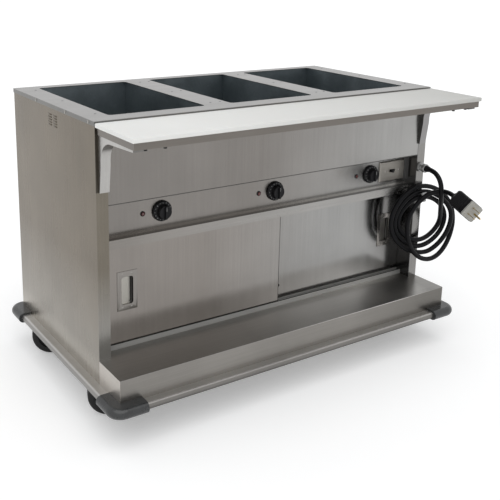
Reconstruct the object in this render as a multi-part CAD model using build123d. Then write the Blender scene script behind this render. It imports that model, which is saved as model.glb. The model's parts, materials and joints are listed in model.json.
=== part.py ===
from build123d import *
import math
import os

os.makedirs("parts", exist_ok=True)

# Hot food table in millimetres: +X to the right as seen from the front, -Y to the
# front where the cook stands, +Z up, with the origin on the floor under its middle.

# Cabinet
body_length = 1219.0
body_depth = 600.0
table_height = 864.0
body_bottom = 126.0
sheet = 1.5
bottom_return = 24.0
return_notch = 0.5
post_width = 35.0
rear_flange = 20.0

# Top plate and wells
top_skirt = 13.0
well_end_span = 439.0
well_gap = 88.0
well_width = 505.0
well_front_margin = 57.0
well_corner = 12.0
well_setback = 3.0
well_depth = 165.0
well_rim = 15.0
liner_sheet = 1.2

# Heating elements
element_dia = 11.0
element_rise = 24.0
element_half_length = 110.0
element_back = 180.0
element_neck = 120.0
element_front = 195.0
element_half_gap = 25.0
element_bend = 30.0
terminal_length = 84.0
terminal_width = 14.0
terminal_height = 34.0
foot_width = 12.0

# Apron, control panel and door header
apron_bottom = 635.0
control_recess = 46.0
control_rise = 20.0
header_top = 529.0
header_height = 26.0
header_setback = 18.0
control_box_depth = 110.0
control_box_height = 150.0

# Knobs, thermostats and pilot lamps
knob_z = 580.0
knob_switch_gap = 11.0
knob_offset = 8.0
knob_skirt_dia = 60.0
knob_skirt_thick = 7.0
knob_grip_dia = 42.0
knob_grip_depth = 17.0
knob_rib_width = 11.0
knob_rib_depth = 5.0
knob_gap = 1.5
stem_dia = 8.0
stem_depth = 26.0
running_gap = 0.06
panel_hole_gap = 0.8
thermostat_length = 46.0
thermostat_depth = 34.0
thermostat_height = 52.0
lamp_offset = 60.0
lamp_bezel_dia = 15.0
lamp_lens_dia = 11.0
lamp_body_dia = 10.0
lamp_body_depth = 24.0
lamp_bezel_thick = 2.5
lamp_lens_depth = 3.5
lamp_hole_gap = 0.2

# Mains switch behind a wall plate that lies on its side
switch_side_gap = 14.0
switch_plate_length = 114.0
switch_plate_height = 70.0
switch_plate_thick = 5.0
switch_plate_bevel = 3.0
switch_slot_length = 25.0
switch_slot_height = 10.5
switch_body_length = 62.0
switch_body_height = 34.0
switch_body_depth = 36.0
toggle_pivot_depth = 7.0
toggle_barrel_dia = 12.0
toggle_height = 8.6
toggle_end_gap = 0.4
toggle_root = 7.5
toggle_tip = 6.0
toggle_reach = 24.0
toggle_tilt = 12.0

# Sliding doors, pulls and tracks
door_thick = 14.0
door_overlap = 65.0
door_sheet = 1.2
door_side_gap = 1.0
door_end_gap = 1.0
door_front = 42.0
door_bottom = 201.0
door_top_gap = 5.0
track_lip = 1.5
track_height = 16.5
header_lip_drop = 20.0
glide_length = 40.0
glide_width = 9.0
glide_inset = 70.0
glide_gap = 0.3
pull_length = 62.0
pull_height = 116.0
pull_thick = 1.5
pull_inset = 42.0
pull_z = 366.0
cup_length = 38.0
cup_height = 84.0
cup_depth = 11.0
cup_wall = 1.2
cup_corner = 8.0
cup_hole_gap = 0.4

# Base ledge, floor and caster rails
ledge_reach = 125.0
ledge_top = 195.5
ledge_tail = 58.0
rail_width = 110.0
rail_wall = 3.0
rail_bottom = 160.0
rail_front_gap = 30.0
rail_back_gap = 60.0

# Casters
caster_inset = 90.0
caster_front = 37.0
caster_rear = 471.0
caster_heading = 160.0
caster_trail = 38.0
plate_length = 100.0
plate_width = 88.0
plate_thick = 4.0
race_dia = 56.0
race_bottom = 141.0
kingpin_dia = 16.0
kingpin_head_dia = 24.0
kingpin_head_thick = 4.0
swivel_gap = 0.3
fork_disc_dia = 60.0
fork_disc_thick = 7.2
fork_leg_thick = 5.0
fork_leg_top = 38.0
fork_eye_dia = 30.0
wheel_dia = 127.0
wheel_width = 32.0
hub_width = 35.4
hub_dia = 34.0
web_width = 18.0
rim_inner_dia = 92.0
tread_round = 6.0
hub_gap = 0.3
axle_dia = 12.0
axle_head_dia = 20.0
axle_head_thick = 6.0
axle_fit = 0.05
bolt_dia = 8.0
bolt_head_dia = 14.0
bolt_head_thick = 5.0
bolt_nut_thick = 6.0
bolt_inset = 14.0
bolt_hole_gap = 0.3

# Bumper rail: flat on the body, round on the outside, with a rubber bumper at each corner
bumper_height = 21.0
bumper_depth = 30.0
bumper_wall = 2.0
corner_top = 132.0
corner_height = 32.0
corner_depth = 39.5
corner_leg = 90.0
corner_bend = 28.0
bracket_bar_width = 30.0
bracket_bar_thick = 4.0
bracket_bar_lap = 20.0
bracket_bar_span = 439.0
bracket_bar_end_inset = 120.0

# Cutting board, its shelf and the two shelf brackets
board_reach = 213.0
board_thick = 12.0
board_drop = 4.0
board_round = 3.0
board_back_gap = 1.0
shelf_end_gap = 6.0
shelf_front_gap = 6.0
shelf_flange = 17.0
shelf_back_flange = 24.0
pin_dia = 9.0
pin_hole_gap = 0.5
pin_length = 26.0
pin_end_inset = 46.0
pin_pitch = 54.0
pin_front_inset = 24.0
bracket_width = 28.0
bracket_side_inset = 8.0
bracket_bottom = 674.0
bracket_wall = 3.0
bracket_foot = 6.0
bracket_shoulder = 15.0
bracket_shoulder_drop = 69.0
bracket_arm_depth = 30.0
bracket_arm_gap = 10.0
bracket_tip_depth = 24.0
bracket_bend = 56.0
bracket_flange_gap = 1.0

# Screws
screw_dia = 4.0
screw_head_dia = 9.0
screw_head_thick = 2.6
screw_length = 8.0
screw_hole_gap = 0.1
skirt_screw_ys = [36.0, 187.0, 404.0]
skirt_screw_drop = 7.0
hook_screw_rises = [14.0, 38.0]

# Side vents: two columns of short slots below the top edge
vent_columns = [265.0, 303.0]
vent_rows = 5
vent_length = 26.0
vent_height = 3.0
vent_pitch = 7.5
vent_drop = 31.0

# Cord, gland, hook and plug
cord_dia = 16.0
gland_z = 591.0
gland_flange_dia = 33.0
gland_flange_thick = 6.0
gland_neck_dia = 25.0
gland_nut_dia = 30.0
gland_nut_thick = 12.0
gland_length = 28.0
gland_shank = 8.0
gland_hole_gap = 0.2
hook_width = 20.0
hook_thick = 3.0
hook_gap = 28.0
hook_lip = 34.0
hook_rise = 62.0
hook_seat_gap = 2.6
hook_offset = -6.0
plug_size = 58.0
plug_length = 84.0
plug_corner = 6.5
plug_clamp_dia = 34.0
plug_clamp_length = 14.0
plug_face_thick = 8.0
plug_face_inset = 1.5
blade_length = 34.0
blade_root = 5.0
blade_width = 8.0
blade_thick = 2.0
ground_dia = 6.0
blade_places = [(-6.5, -11.5), (-6.5, 12.5)]
ground_place = (13.0, 1.0)
plug_roll = (-0.75, -0.6, 0.28)

# Coil: three passes of the cord lie on the hook one above the other. The turns
# hang from them, swung to the back at the left and to the front at the right.
# Each place is given from the hook and the post's face, with its height.
pass_pitch = 19.2
pass_y = -17.0
pass_xs = [2.0, 0.0, -4.0]
lowest_pass_z = 489.4
turn_bottoms = [(-4.0, -20.0, 337.0), (13.0, -21.0, 313.0), (31.0, -27.0, 289.0), (39.0, -48.0, 269.0)]
turn_lefts = [(-63.0, 18.0, 399.0), (-84.0, 14.0, 401.0), (-105.0, 10.0, 404.0), (-71.0, -36.0, 393.0)]
turn_rights = [(108.0, -36.0, 404.0), (108.0, -66.0, 416.0), (141.0, -46.0, 394.0)]

# Bends of the cord's free stretches: the lead's from the gland's tip, the tail's
# from the end of the coil, and the length of the straight run at each coil end
lead_bends = [(0.0, -28.0, 0.0), (0.0, -53.7, -13.6), (-0.5, -70.3, -38.9), (1.1, -72.7, -76.8),
              (34.8, -45.6, -134.8), (70.0, -16.5, -191.7), (60.2, -0.5, -231.0)]
lead_run = 39.4
tail_run = 28.0
tail_bends = [(0.7, -8.0, 56.7), (23.1, -14.0, 92.0), (63.5, -17.5, 116.0), (86.5, -32.5, 126.0),
              (101.3, -56.2, 131.0), (104.2, -84.0, 129.0)]
tail_end = (96.1, -108.3, 124.6)
bend_share = 0.46

# Places that follow from the sizes above
bumper_reach = corner_depth - sheet
overall_depth = board_reach + body_depth + bumper_reach
front_y = board_reach - overall_depth / 2
back_y = front_y + body_depth
side_x = body_length / 2 - sheet
rear_y = back_y - sheet
inner_x = side_x - sheet
post_x = side_x - post_width
top_under = table_height - sheet
ledge_front = front_y - ledge_reach
floor_under = ledge_top - sheet
panel_y = front_y + control_recess
well_pitch = (body_length - well_end_span) / 2
well_length = well_pitch - well_gap
well_xs = [-well_pitch, 0.0, well_pitch]
well_mid_y = front_y + well_front_margin + well_width / 2
well_floor = top_under - well_depth
switch_x = post_x - switch_side_gap - switch_plate_length / 2
knob_pitch = switch_x - switch_plate_length / 2 - knob_switch_gap - knob_skirt_dia / 2 - knob_offset
knob_xs = [knob_offset - knob_pitch, knob_offset, knob_offset + knob_pitch]
vent_top = table_height - vent_drop
sides = {"left": -1, "right": 1}


def block(x0, x1, y0, y1, z0, z1):
    """A box given by its two corners."""
    return Pos((x0 + x1) / 2, (y0 + y1) / 2, (z0 + z1) / 2) * Box(x1 - x0, y1 - y0, z1 - z0)


def mirror_block(side, x0, x1, y0, y1, z0, z1):
    """A box on the right side of the table, or its twin on the left."""
    return block(min(side * x0, side * x1), max(side * x0, side * x1), y0, y1, z0, z1)


def rod(x, y0, y1, z, dia):
    """A round bar along Y."""
    return Pos(x, (y0 + y1) / 2, z) * (Rot(90, 0, 0) * Cylinder(dia / 2, abs(y1 - y0)))


def post_bar(x, y, z0, z1, dia):
    """A round bar along Z."""
    return Pos(x, y, (z0 + z1) / 2) * Cylinder(dia / 2, z1 - z0)


def side_rod(x0, x1, y, z, dia):
    """A round bar along X."""
    return Pos((x0 + x1) / 2, y, z) * (Rot(0, 90, 0) * Cylinder(dia / 2, abs(x1 - x0)))


def save(name, *solids):
    """Writes one piece, or a group of equal pieces, to its own file."""
    shape = solids[0] if len(solids) == 1 else Compound(list(solids))
    export_step(shape, "parts/" + name + ".step")


# Screw places: the hook and the shelf brackets on the posts, and the skirt ends
gland_x = (post_x + side_x) / 2
hook_x = gland_x + hook_offset
hook_bottom = lowest_pass_z - cord_dia / 2 - hook_seat_gap - hook_thick
hook_top = hook_bottom + hook_rise
bracket_outer = side_x - bracket_side_inset
bracket_inner = bracket_outer - bracket_width
hook_screw_zs = [hook_top - rise for rise in hook_screw_rises]
skirt_screw_z = table_height - skirt_screw_drop


def skirt_screw_holes(side, dia):
    """Bars along X through the top skirt and the side panel."""
    reach = screw_length * 2
    return [side_rod(side * side_x - reach, side * side_x + reach, front_y + y, skirt_screw_z, dia)
            for y in skirt_screw_ys]


def post_screw_holes(x, zs, dia):
    """Bars along Y through the front face of a post."""
    return [rod(x, front_y - screw_length * 2, front_y + screw_length, z, dia) for z in zs]


def make_top_plate():
    deck = block(-body_length / 2, body_length / 2, front_y - sheet, back_y, top_under, table_height)
    skirt = block(-body_length / 2, body_length / 2, front_y - sheet, back_y,
                  table_height - top_skirt, table_height)
    skirt -= block(-side_x, side_x, front_y, rear_y, 0, table_height)
    plate = deck + skirt
    for x in well_xs:
        hole = extrude(RectangleRounded(well_length, well_width, well_corner), 4 * sheet)
        plate -= Pos(x, well_mid_y, top_under - sheet) * hole
    for side in sides.values():
        for hole in skirt_screw_holes(side, screw_dia + 2 * screw_hole_gap):
            plate -= hole
    return plate


def make_well(x):
    half_x = well_length / 2 + well_setback
    half_y = well_width / 2 + well_setback
    low = well_floor - liner_sheet
    wall = liner_sheet
    tub = block(x - half_x - wall, x + half_x + wall, well_mid_y - half_y - wall, well_mid_y + half_y + wall,
                low, top_under)
    rim = block(x - half_x - well_rim, x + half_x + well_rim, well_mid_y - half_y - well_rim,
                well_mid_y + half_y + well_rim, top_under - liner_sheet, top_under)
    hollow = block(x - half_x, x + half_x, well_mid_y - half_y, well_mid_y + half_y, well_floor, table_height)
    return tub + rim - hollow


def make_element(x):
    """A bent tubular heater in one well, held by its terminal block and a foot at the back."""
    z = well_floor + element_rise
    corners = [
        (-element_half_gap, -element_front),
        (-element_half_gap, -element_neck),
        (-element_half_length, -element_neck),
        (-element_half_length, element_back),
        (element_half_length, element_back),
        (element_half_length, -element_neck),
        (element_half_gap, -element_neck),
        (element_half_gap, -element_front),
    ]
    points = [(x + px, well_mid_y + py, z) for px, py in corners]
    path = FilletPolyline(*points, radius=element_bend)
    section = Plane(origin=points[0], z_dir=(0, 1, 0)) * Circle(element_dia / 2)
    heater = sweep(section, path=path)
    end_y = well_mid_y - element_front
    terminal = block(x - terminal_length / 2, x + terminal_length / 2, end_y - terminal_width, end_y,
                     well_floor, well_floor + terminal_height)
    foot_y = well_mid_y + element_back
    foot = block(x - foot_width / 2, x + foot_width / 2, foot_y - foot_width / 2, foot_y + foot_width / 2,
                 well_floor, z)
    return heater + terminal + foot


def make_side_panel(side):
    """Outer side sheet with its front post, rear flange, bottom return and vents."""
    wall = mirror_block(side, inner_x, side_x, front_y, rear_y, body_bottom, top_under)
    face = mirror_block(side, post_x, side_x, front_y, front_y + sheet, ledge_top, top_under)
    post_depth = door_front + 2 * (door_thick + door_side_gap) + 4 * track_lip + 2 * door_side_gap
    jamb = mirror_block(side, post_x, post_x + sheet, front_y, front_y + post_depth, ledge_top, top_under)
    jamb -= well_clearance()
    flange = mirror_block(side, side_x - rear_flange, side_x, rear_y - 2 * sheet, rear_y - sheet,
                          body_bottom + sheet, top_under)
    lip = mirror_block(side, side_x - bottom_return, side_x, front_y,
                       rear_y - sheet - bottom_return - return_notch, body_bottom, body_bottom + sheet)
    panel = wall + face + jamb + flange + lip
    for y in vent_columns:
        for row in range(vent_rows):
            z = vent_top - row * vent_pitch
            panel -= mirror_block(side, inner_x - sheet, side_x + sheet, front_y + y - vent_length / 2,
                                  front_y + y + vent_length / 2, z - vent_height, z)
    for hole in skirt_screw_holes(side, screw_dia + 2 * screw_hole_gap):
        panel -= hole
    if side > 0:
        for hole in post_screw_holes(hook_x, hook_screw_zs, screw_dia + 2 * screw_hole_gap):
            panel -= hole
        panel -= rod(gland_x, front_y - sheet, front_y + 2 * sheet, gland_z, gland_neck_dia + 2 * gland_hole_gap)
    return panel


def well_clearance():
    """Room around the outer wells, so that the jambs stop short of their rims."""
    half_x = well_pitch + well_length / 2 + well_setback + well_rim + sheet
    half_y = well_width / 2 + well_setback + well_rim + sheet
    return block(-half_x, half_x, well_mid_y - half_y, well_mid_y + half_y, well_floor - 2 * sheet, table_height)


def make_rear_panel():
    panel = block(-inner_x, inner_x, rear_y - sheet, rear_y, body_bottom, top_under)
    lip = block(-inner_x, inner_x, rear_y - sheet - bottom_return, rear_y, body_bottom, body_bottom + sheet)
    return panel + lip


def make_front_apron():
    """Front sheet between the posts, with a lower return that roofs the control recess."""
    face = block(-post_x, post_x, front_y, front_y + sheet, apron_bottom, top_under)
    roof = block(-post_x, post_x, front_y, panel_y, apron_bottom, apron_bottom + sheet)
    return face + roof


def make_control_panel():
    panel = block(-post_x, post_x, panel_y, panel_y + sheet, header_top, apron_bottom + control_rise)
    for x in knob_xs:
        panel -= rod(x, panel_y - sheet, panel_y + 2 * sheet, knob_z, stem_dia + 2 * panel_hole_gap)
        panel -= rod(x - lamp_offset, panel_y - sheet, panel_y + 2 * sheet, knob_z,
                     lamp_body_dia + 2 * lamp_hole_gap)
    panel -= block(switch_x - switch_slot_length / 2, switch_x + switch_slot_length / 2, panel_y - sheet,
                   panel_y + 2 * sheet, knob_z - switch_slot_height / 2, knob_z + switch_slot_height / 2)
    return panel


def make_control_box():
    """Sheet tray behind the control panel that houses the thermostats and the switch."""
    start = panel_y + sheet
    end = start + control_box_depth
    floor = block(-post_x, post_x, start, end, header_top, header_top + sheet)
    back = block(-post_x, post_x, end - sheet, end, header_top, header_top + control_box_height)
    return floor + back


def make_thermostat(x):
    start = panel_y + sheet
    body = block(x - thermostat_length / 2, x + thermostat_length / 2, start, start + thermostat_depth,
                 knob_z - thermostat_height / 2, knob_z + thermostat_height / 2)
    return body - rod(x, start - sheet, start + stem_depth + knob_gap, knob_z, stem_dia + 2 * running_gap)


def make_knob(x):
    """Dial skirt, round grip with a finger rib, and the stem that turns the thermostat."""
    back = panel_y - knob_gap
    front = back - knob_skirt_thick
    skirt = rod(x, front, back, knob_z, knob_skirt_dia)
    skirt = chamfer(skirt.faces().sort_by(Axis.Y)[0].edges(), knob_skirt_thick / 3)
    grip = rod(x, front - knob_grip_depth, front, knob_z, knob_grip_dia)
    grip = fillet(grip.faces().sort_by(Axis.Y)[0].edges(), knob_grip_depth / 8)
    rib = block(x - knob_rib_width / 2, x + knob_rib_width / 2, front - knob_grip_depth - knob_rib_depth, front,
                knob_z - knob_grip_dia / 2, knob_z + knob_grip_dia / 2)
    stem = rod(x, back, panel_y + sheet + stem_depth, knob_z, stem_dia)
    return skirt + grip + rib + stem


def make_lamp(x):
    front = panel_y - lamp_bezel_thick
    bezel = rod(x, front, panel_y, knob_z, lamp_bezel_dia)
    lens = rod(x, front - lamp_lens_depth, front, knob_z, lamp_lens_dia)
    lens = fillet(lens.faces().sort_by(Axis.Y)[0].edges(), lamp_lens_depth / 2)
    barrel = rod(x, panel_y, panel_y + lamp_body_depth, knob_z, lamp_body_dia)
    return bezel + lens + barrel


def make_switch_plate():
    plate = block(switch_x - switch_plate_length / 2, switch_x + switch_plate_length / 2,
                  panel_y - switch_plate_thick, panel_y, knob_z - switch_plate_height / 2,
                  knob_z + switch_plate_height / 2)
    plate = chamfer(plate.faces().sort_by(Axis.Y)[0].edges(), switch_plate_bevel)
    return plate - block(switch_x - switch_slot_length / 2, switch_x + switch_slot_length / 2,
                         panel_y - 2 * switch_plate_thick, panel_y + sheet, knob_z - switch_slot_height / 2,
                         knob_z + switch_slot_height / 2)


def make_switch_body():
    """Switch case with the round pocket in which the toggle's barrel turns."""
    start = panel_y + sheet
    pivot_y = start + toggle_pivot_depth
    half_height = toggle_height / 2 + toggle_end_gap
    body = block(switch_x - switch_body_length / 2, switch_x + switch_body_length / 2, start,
                 start + switch_body_depth, knob_z - switch_body_height / 2, knob_z + switch_body_height / 2)
    body -= post_bar(switch_x, pivot_y, knob_z - half_height, knob_z + half_height,
                     toggle_barrel_dia + 2 * running_gap)
    return body - block(switch_x - switch_slot_length / 2, switch_x + switch_slot_length / 2, start - sheet,
                        pivot_y, knob_z - half_height, knob_z + half_height)


def make_toggle():
    """Toggle with a barrel pivot, leaning to the left at rest."""
    pivot_y = panel_y + sheet + toggle_pivot_depth
    barrel = Cylinder(toggle_barrel_dia / 2, toggle_height)
    lever = Solid.make_loft([
        Wire.make_rect(toggle_root, toggle_height, Plane(origin=(0, 0, 0), x_dir=(1, 0, 0), z_dir=(0, -1, 0))),
        Wire.make_rect(toggle_tip, toggle_height, Plane(origin=(0, -toggle_reach, 0), x_dir=(1, 0, 0),
                                                        z_dir=(0, -1, 0))),
    ])
    return Pos(switch_x, pivot_y, knob_z) * (Rot(0, 0, -toggle_tilt) * (barrel + lever))


# Door places: the left door runs in the front groove, the right one behind it
opening_half = post_x
door_length = (2 * opening_half + door_overlap) / 2 - door_end_gap
groove_pitch = door_thick + 2 * door_side_gap + track_lip
door_fronts = {"left": front_y + door_front, "right": front_y + door_front + groove_pitch}
door_top = header_top - sheet - door_top_gap
lip_ys = [front_y + door_front - door_side_gap - track_lip + i * groove_pitch for i in range(3)]
track_floor = ledge_top + sheet


def make_door_header():
    """Hollow rail over the doors: front face, top and the three lips of the upper track."""
    front = front_y + header_setback
    under = header_top - sheet
    top = block(-post_x, post_x, front, lip_ys[2] + track_lip, under, header_top)
    face = block(-post_x, post_x, front, front + sheet, header_top - header_height, header_top)
    rail = top + face
    for y in lip_ys:
        rail += block(-post_x, post_x, y, y + track_lip, under - header_lip_drop, under)
    return rail


def make_lower_track():
    base = block(-post_x, post_x, lip_ys[0], lip_ys[2] + track_lip, ledge_top, track_floor)
    for y in lip_ys:
        base += block(-post_x, post_x, y, y + track_lip, ledge_top, ledge_top + track_height)
    return base


def door_span(name):
    """Left and right edge of a door."""
    if name == "left":
        return -opening_half + door_end_gap, -opening_half + door_end_gap + door_length
    return opening_half - door_end_gap - door_length, opening_half - door_end_gap


def pull_x(name):
    """Middle of a door's pull."""
    return sides[name] * (opening_half - pull_inset - pull_length / 2)


def make_door(name):
    """Sheet pan open at the back, with a cut-out for its pull."""
    x0, x1 = door_span(name)
    y = door_fronts[name]
    pan = block(x0, x1, y, y + door_thick, door_bottom, door_top)
    pan -= block(x0 + door_sheet, x1 - door_sheet, y + door_sheet, y + 2 * door_thick,
                 door_bottom + door_sheet, door_top - door_sheet)
    half_x = cup_length / 2 + cup_wall + cup_hole_gap
    half_z = cup_height / 2 + cup_wall + cup_hole_gap
    x = pull_x(name)
    return pan - block(x - half_x, x + half_x, y - sheet, y + 2 * door_sheet, pull_z - half_z, pull_z + half_z)


def make_pull(name):
    """Flush pull: a face plate with a pressed cup for the fingers."""
    x = pull_x(name)
    y = door_fronts[name]
    face = Plane(origin=(x, y, pull_z), x_dir=(1, 0, 0), z_dir=(0, -1, 0))
    plate = extrude(face * RectangleRounded(pull_length, pull_height, pull_thick), pull_thick)
    outer = RectangleRounded(cup_length + 2 * cup_wall, cup_height + 2 * cup_wall, cup_corner + cup_wall)
    inner = RectangleRounded(cup_length, cup_height, cup_corner)
    shell = extrude(face * outer, -cup_depth - cup_wall)
    hollow = extrude(face * inner, -cup_depth)
    hollow += extrude(face * inner, 2 * pull_thick)
    return plate + shell - hollow


def make_glides(name):
    """Two nylon glides under a door."""
    x0, x1 = door_span(name)
    y = door_fronts[name] + door_thick / 2
    return [block(x - glide_length / 2, x + glide_length / 2, y - glide_width / 2, y + glide_width / 2,
                  track_floor + glide_gap, door_bottom) for x in (x0 + glide_inset, x1 - glide_inset)]


def make_base_ledge():
    """Step along the front: its top runs in under the doors, with a face and two ends."""
    top = block(-side_x, side_x, ledge_front, front_y, floor_under, ledge_top)
    top += block(-inner_x, inner_x, front_y, front_y + ledge_tail, floor_under, ledge_top)
    face = block(-side_x, side_x, ledge_front, ledge_front + sheet, body_bottom, ledge_top)
    lip = block(-side_x, side_x, ledge_front, ledge_front + bottom_return, body_bottom, body_bottom + sheet)
    ledge = top + face + lip
    for side in sides.values():
        ledge += mirror_block(side, inner_x, side_x, ledge_front, front_y, body_bottom, ledge_top)
        ledge += mirror_block(side, side_x - bottom_return, side_x, ledge_front, front_y,
                              body_bottom, body_bottom + sheet)
    return ledge


def make_cabinet_floor():
    return block(-inner_x, inner_x, front_y + ledge_tail, rear_y - 2 * sheet, floor_under, ledge_top)


caster_ys = {"front": front_y + caster_front, "rear": front_y + caster_rear}
caster_x = body_length / 2 - caster_inset
caster_spots = {end + "_" + name: (side * caster_x, y)
                for end, y in caster_ys.items() for name, side in sides.items()}
bolt_offsets = [(sx * (plate_length / 2 - bolt_inset), sy * (plate_width / 2 - bolt_inset))
                for sx in (-1, 1) for sy in (-1, 1)]
plate_bottom = rail_bottom - plate_thick
axle_z = wheel_dia / 2


def make_rail(side):
    """Channel under the floor that carries the two casters of one side."""
    x = side * caster_x
    y0 = ledge_front + rail_front_gap
    y1 = rear_y - rail_back_gap
    rail = block(x - rail_width / 2, x + rail_width / 2, y0, y1, rail_bottom, floor_under)
    rail -= block(x - rail_width / 2 + rail_wall, x + rail_width / 2 - rail_wall, y0 - sheet, y1 + sheet,
                  rail_bottom + rail_wall, table_height)
    for y in caster_ys.values():
        for bx, by in bolt_offsets:
            rail -= post_bar(x + bx, y + by, rail_bottom - sheet, rail_bottom + 2 * rail_wall,
                             bolt_dia + 2 * bolt_hole_gap)
    return rail


fork_top = race_bottom - swivel_gap
fork_under = fork_top - fork_disc_thick


def make_caster_plate(x, y):
    """Mounting plate with the swivel race and the kingpin that keeps the fork."""
    plate = block(x - plate_length / 2, x + plate_length / 2, y - plate_width / 2, y + plate_width / 2,
                  plate_bottom, rail_bottom)
    plate += post_bar(x, y, race_bottom, plate_bottom, race_dia)
    head_top = fork_under - swivel_gap
    plate += post_bar(x, y, head_top, plate_bottom, kingpin_dia)
    plate += post_bar(x, y, head_top - kingpin_head_thick, head_top, kingpin_head_dia)
    for bx, by in bolt_offsets:
        plate -= post_bar(x + bx, y + by, plate_bottom - sheet, rail_bottom + sheet, bolt_dia + 2 * bolt_hole_gap)
    return plate


def make_caster_bolts(x, y):
    bolts = []
    for bx, by in bolt_offsets:
        top = rail_bottom + rail_wall
        bolt = post_bar(x + bx, y + by, plate_bottom - bolt_head_thick, plate_bottom, bolt_head_dia)
        bolt += post_bar(x + bx, y + by, plate_bottom, top, bolt_dia)
        bolt += post_bar(x + bx, y + by, top, top + bolt_nut_thick, bolt_head_dia)
        bolts.append(bolt)
    return bolts


def at_caster(x, y, shape):
    """Turns a caster piece, drawn trailing along +X, to its heading and moves it to its place."""
    return Pos(x, y, 0) * (Rot(0, 0, caster_heading) * shape)


leg_inner = hub_width / 2 + hub_gap
leg_outer = leg_inner + fork_leg_thick


def make_fork():
    """Swivel disc and two legs, trailing along +X."""
    fork = post_bar(0, 0, fork_under, fork_top, fork_disc_dia)
    outline = Polygon(
        (-fork_leg_top / 2, fork_top),
        (-fork_leg_top / 2, fork_under),
        (caster_trail - fork_eye_dia / 2, axle_z),
        (caster_trail + fork_eye_dia / 2, axle_z),
        (fork_leg_top / 2, fork_top),
        align=None,
    )
    outline += Pos(caster_trail, axle_z) * Circle(fork_eye_dia / 2)
    for start in (leg_inner, -leg_outer):
        leg_plane = Plane(origin=(0, start + fork_leg_thick, 0), x_dir=(1, 0, 0), z_dir=(0, -1, 0))
        fork += extrude(leg_plane * outline, fork_leg_thick)
    fork -= post_bar(0, 0, fork_under - sheet, fork_top + sheet, kingpin_dia + 2 * running_gap)
    return fork - rod(caster_trail, -2 * leg_outer, 2 * leg_outer, axle_z, axle_dia + 2 * axle_fit)


def make_axle():
    """Axle bolt with its head and nut outside the fork's legs."""
    axle = rod(caster_trail, -leg_outer, leg_outer, axle_z, axle_dia)
    for y in (-leg_outer - axle_head_thick, leg_outer):
        hexagon = Plane(origin=(caster_trail, y + axle_head_thick, axle_z), x_dir=(1, 0, 0), z_dir=(0, -1, 0))
        axle += extrude(hexagon * RegularPolygon(axle_head_dia / 2, 6), axle_head_thick)
    return axle


def make_wheel():
    """Wheel with a rounded tread, a thinner web and a hub, turned about its axle."""
    bore = axle_dia / 2 + running_gap
    half = [
        (bore, hub_width / 2),
        (hub_dia / 2, hub_width / 2),
        (hub_dia / 2, web_width / 2),
        (rim_inner_dia / 2, web_width / 2),
        (rim_inner_dia / 2, wheel_width / 2),
        (wheel_dia / 2, wheel_width / 2),
    ]
    outline = half + [(r, -w) for r, w in reversed(half)]
    profile = make_face(Polyline(*[(r, w, 0) for r, w in outline], close=True))
    tread_corners = profile.vertices().group_by(Axis.X)[-1]
    profile = fillet(tread_corners, tread_round)
    wheel = revolve(profile, Axis.Y)
    return Pos(caster_trail, 0, axle_z) * wheel


# Bumper places: the rails' middle height, and the middle line of the corner bumpers' round side
rail_z = body_bottom - bumper_height / 2
rail_line = bumper_depth - bumper_height / 2
corner_z = corner_top - corner_height / 2
corner_line = corner_depth - corner_height / 2
corner_x = side_x + corner_line
corner_front_y = ledge_front - corner_line
corner_rear_y = rear_y + corner_line


def long_bumper(half, face_y, out, shrink):
    """A bar along X on the face at face_y, flat inside and round outside, or its hollow."""
    half_height = bumper_height / 2 - shrink
    line_y = face_y + out * rail_line
    near_y = face_y + out * shrink
    bar = block(-half, half, min(near_y, line_y), max(near_y, line_y), rail_z - half_height, rail_z + half_height)
    return bar + side_rod(-half, half, line_y, rail_z, 2 * half_height)


def side_bumper(side, y0, y1, shrink):
    """The same along Y on a side panel."""
    half_height = bumper_height / 2 - shrink
    bar = mirror_block(side, side_x + shrink, side_x + rail_line, y0, y1, rail_z - half_height, rail_z + half_height)
    return bar + rod(side * (side_x + rail_line), y0, y1, rail_z, 2 * half_height)


def make_bumper_rails():
    """Four hollow rails that end on the corner bumpers."""
    half = corner_x - corner_leg
    y0 = corner_front_y + corner_leg
    y1 = corner_rear_y - corner_leg
    rails = []
    for face_y, out in ((ledge_front, -1), (rear_y, 1)):
        rails.append(long_bumper(half, face_y, out, 0) - long_bumper(half + sheet, face_y, out, bumper_wall))
    for side in sides.values():
        rails.append(side_bumper(side, y0, y1, 0) - side_bumper(side, y0 - sheet, y1 + sheet, bumper_wall))
    return rails


def make_corner_bumper(x, y, to_x, to_y):
    """Bent rubber bumper round one corner, with a leg along each rail."""
    start = (x + to_x * corner_leg, y, corner_z)
    path = FilletPolyline(start, (x, y, corner_z), (x, y + to_y * corner_leg, corner_z), radius=corner_bend)
    outline = Circle(corner_height / 2) + Pos(to_y * corner_line / 2, 0) * Rectangle(corner_line, corner_height)
    section = Plane(origin=start, x_dir=(0, 1, 0), z_dir=(1, 0, 0)) * outline
    bumper = sweep(section, path=path)
    return bumper - block(-side_x, side_x, ledge_front, rear_y, body_bottom, table_height)


def make_bumper_brackets():
    """Flat bars under the body's edge that carry the rails."""
    top = body_bottom
    low = top - bracket_bar_thick
    half = bracket_bar_width / 2
    bar_x = (body_length - bracket_bar_span) / 2
    bars = []
    for x in (-bar_x, bar_x):
        bars.append(block(x - half, x + half, ledge_front, ledge_front + bracket_bar_lap, low, top))
        bars.append(block(x - half, x + half, rear_y - bracket_bar_lap, rear_y, low, top))
    for side in sides.values():
        for y in (front_y + bracket_bar_end_inset, rear_y - bracket_bar_end_inset):
            bars.append(mirror_block(side, side_x - bracket_bar_lap, side_x, y - half, y + half, low, top))
    return bars


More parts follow.
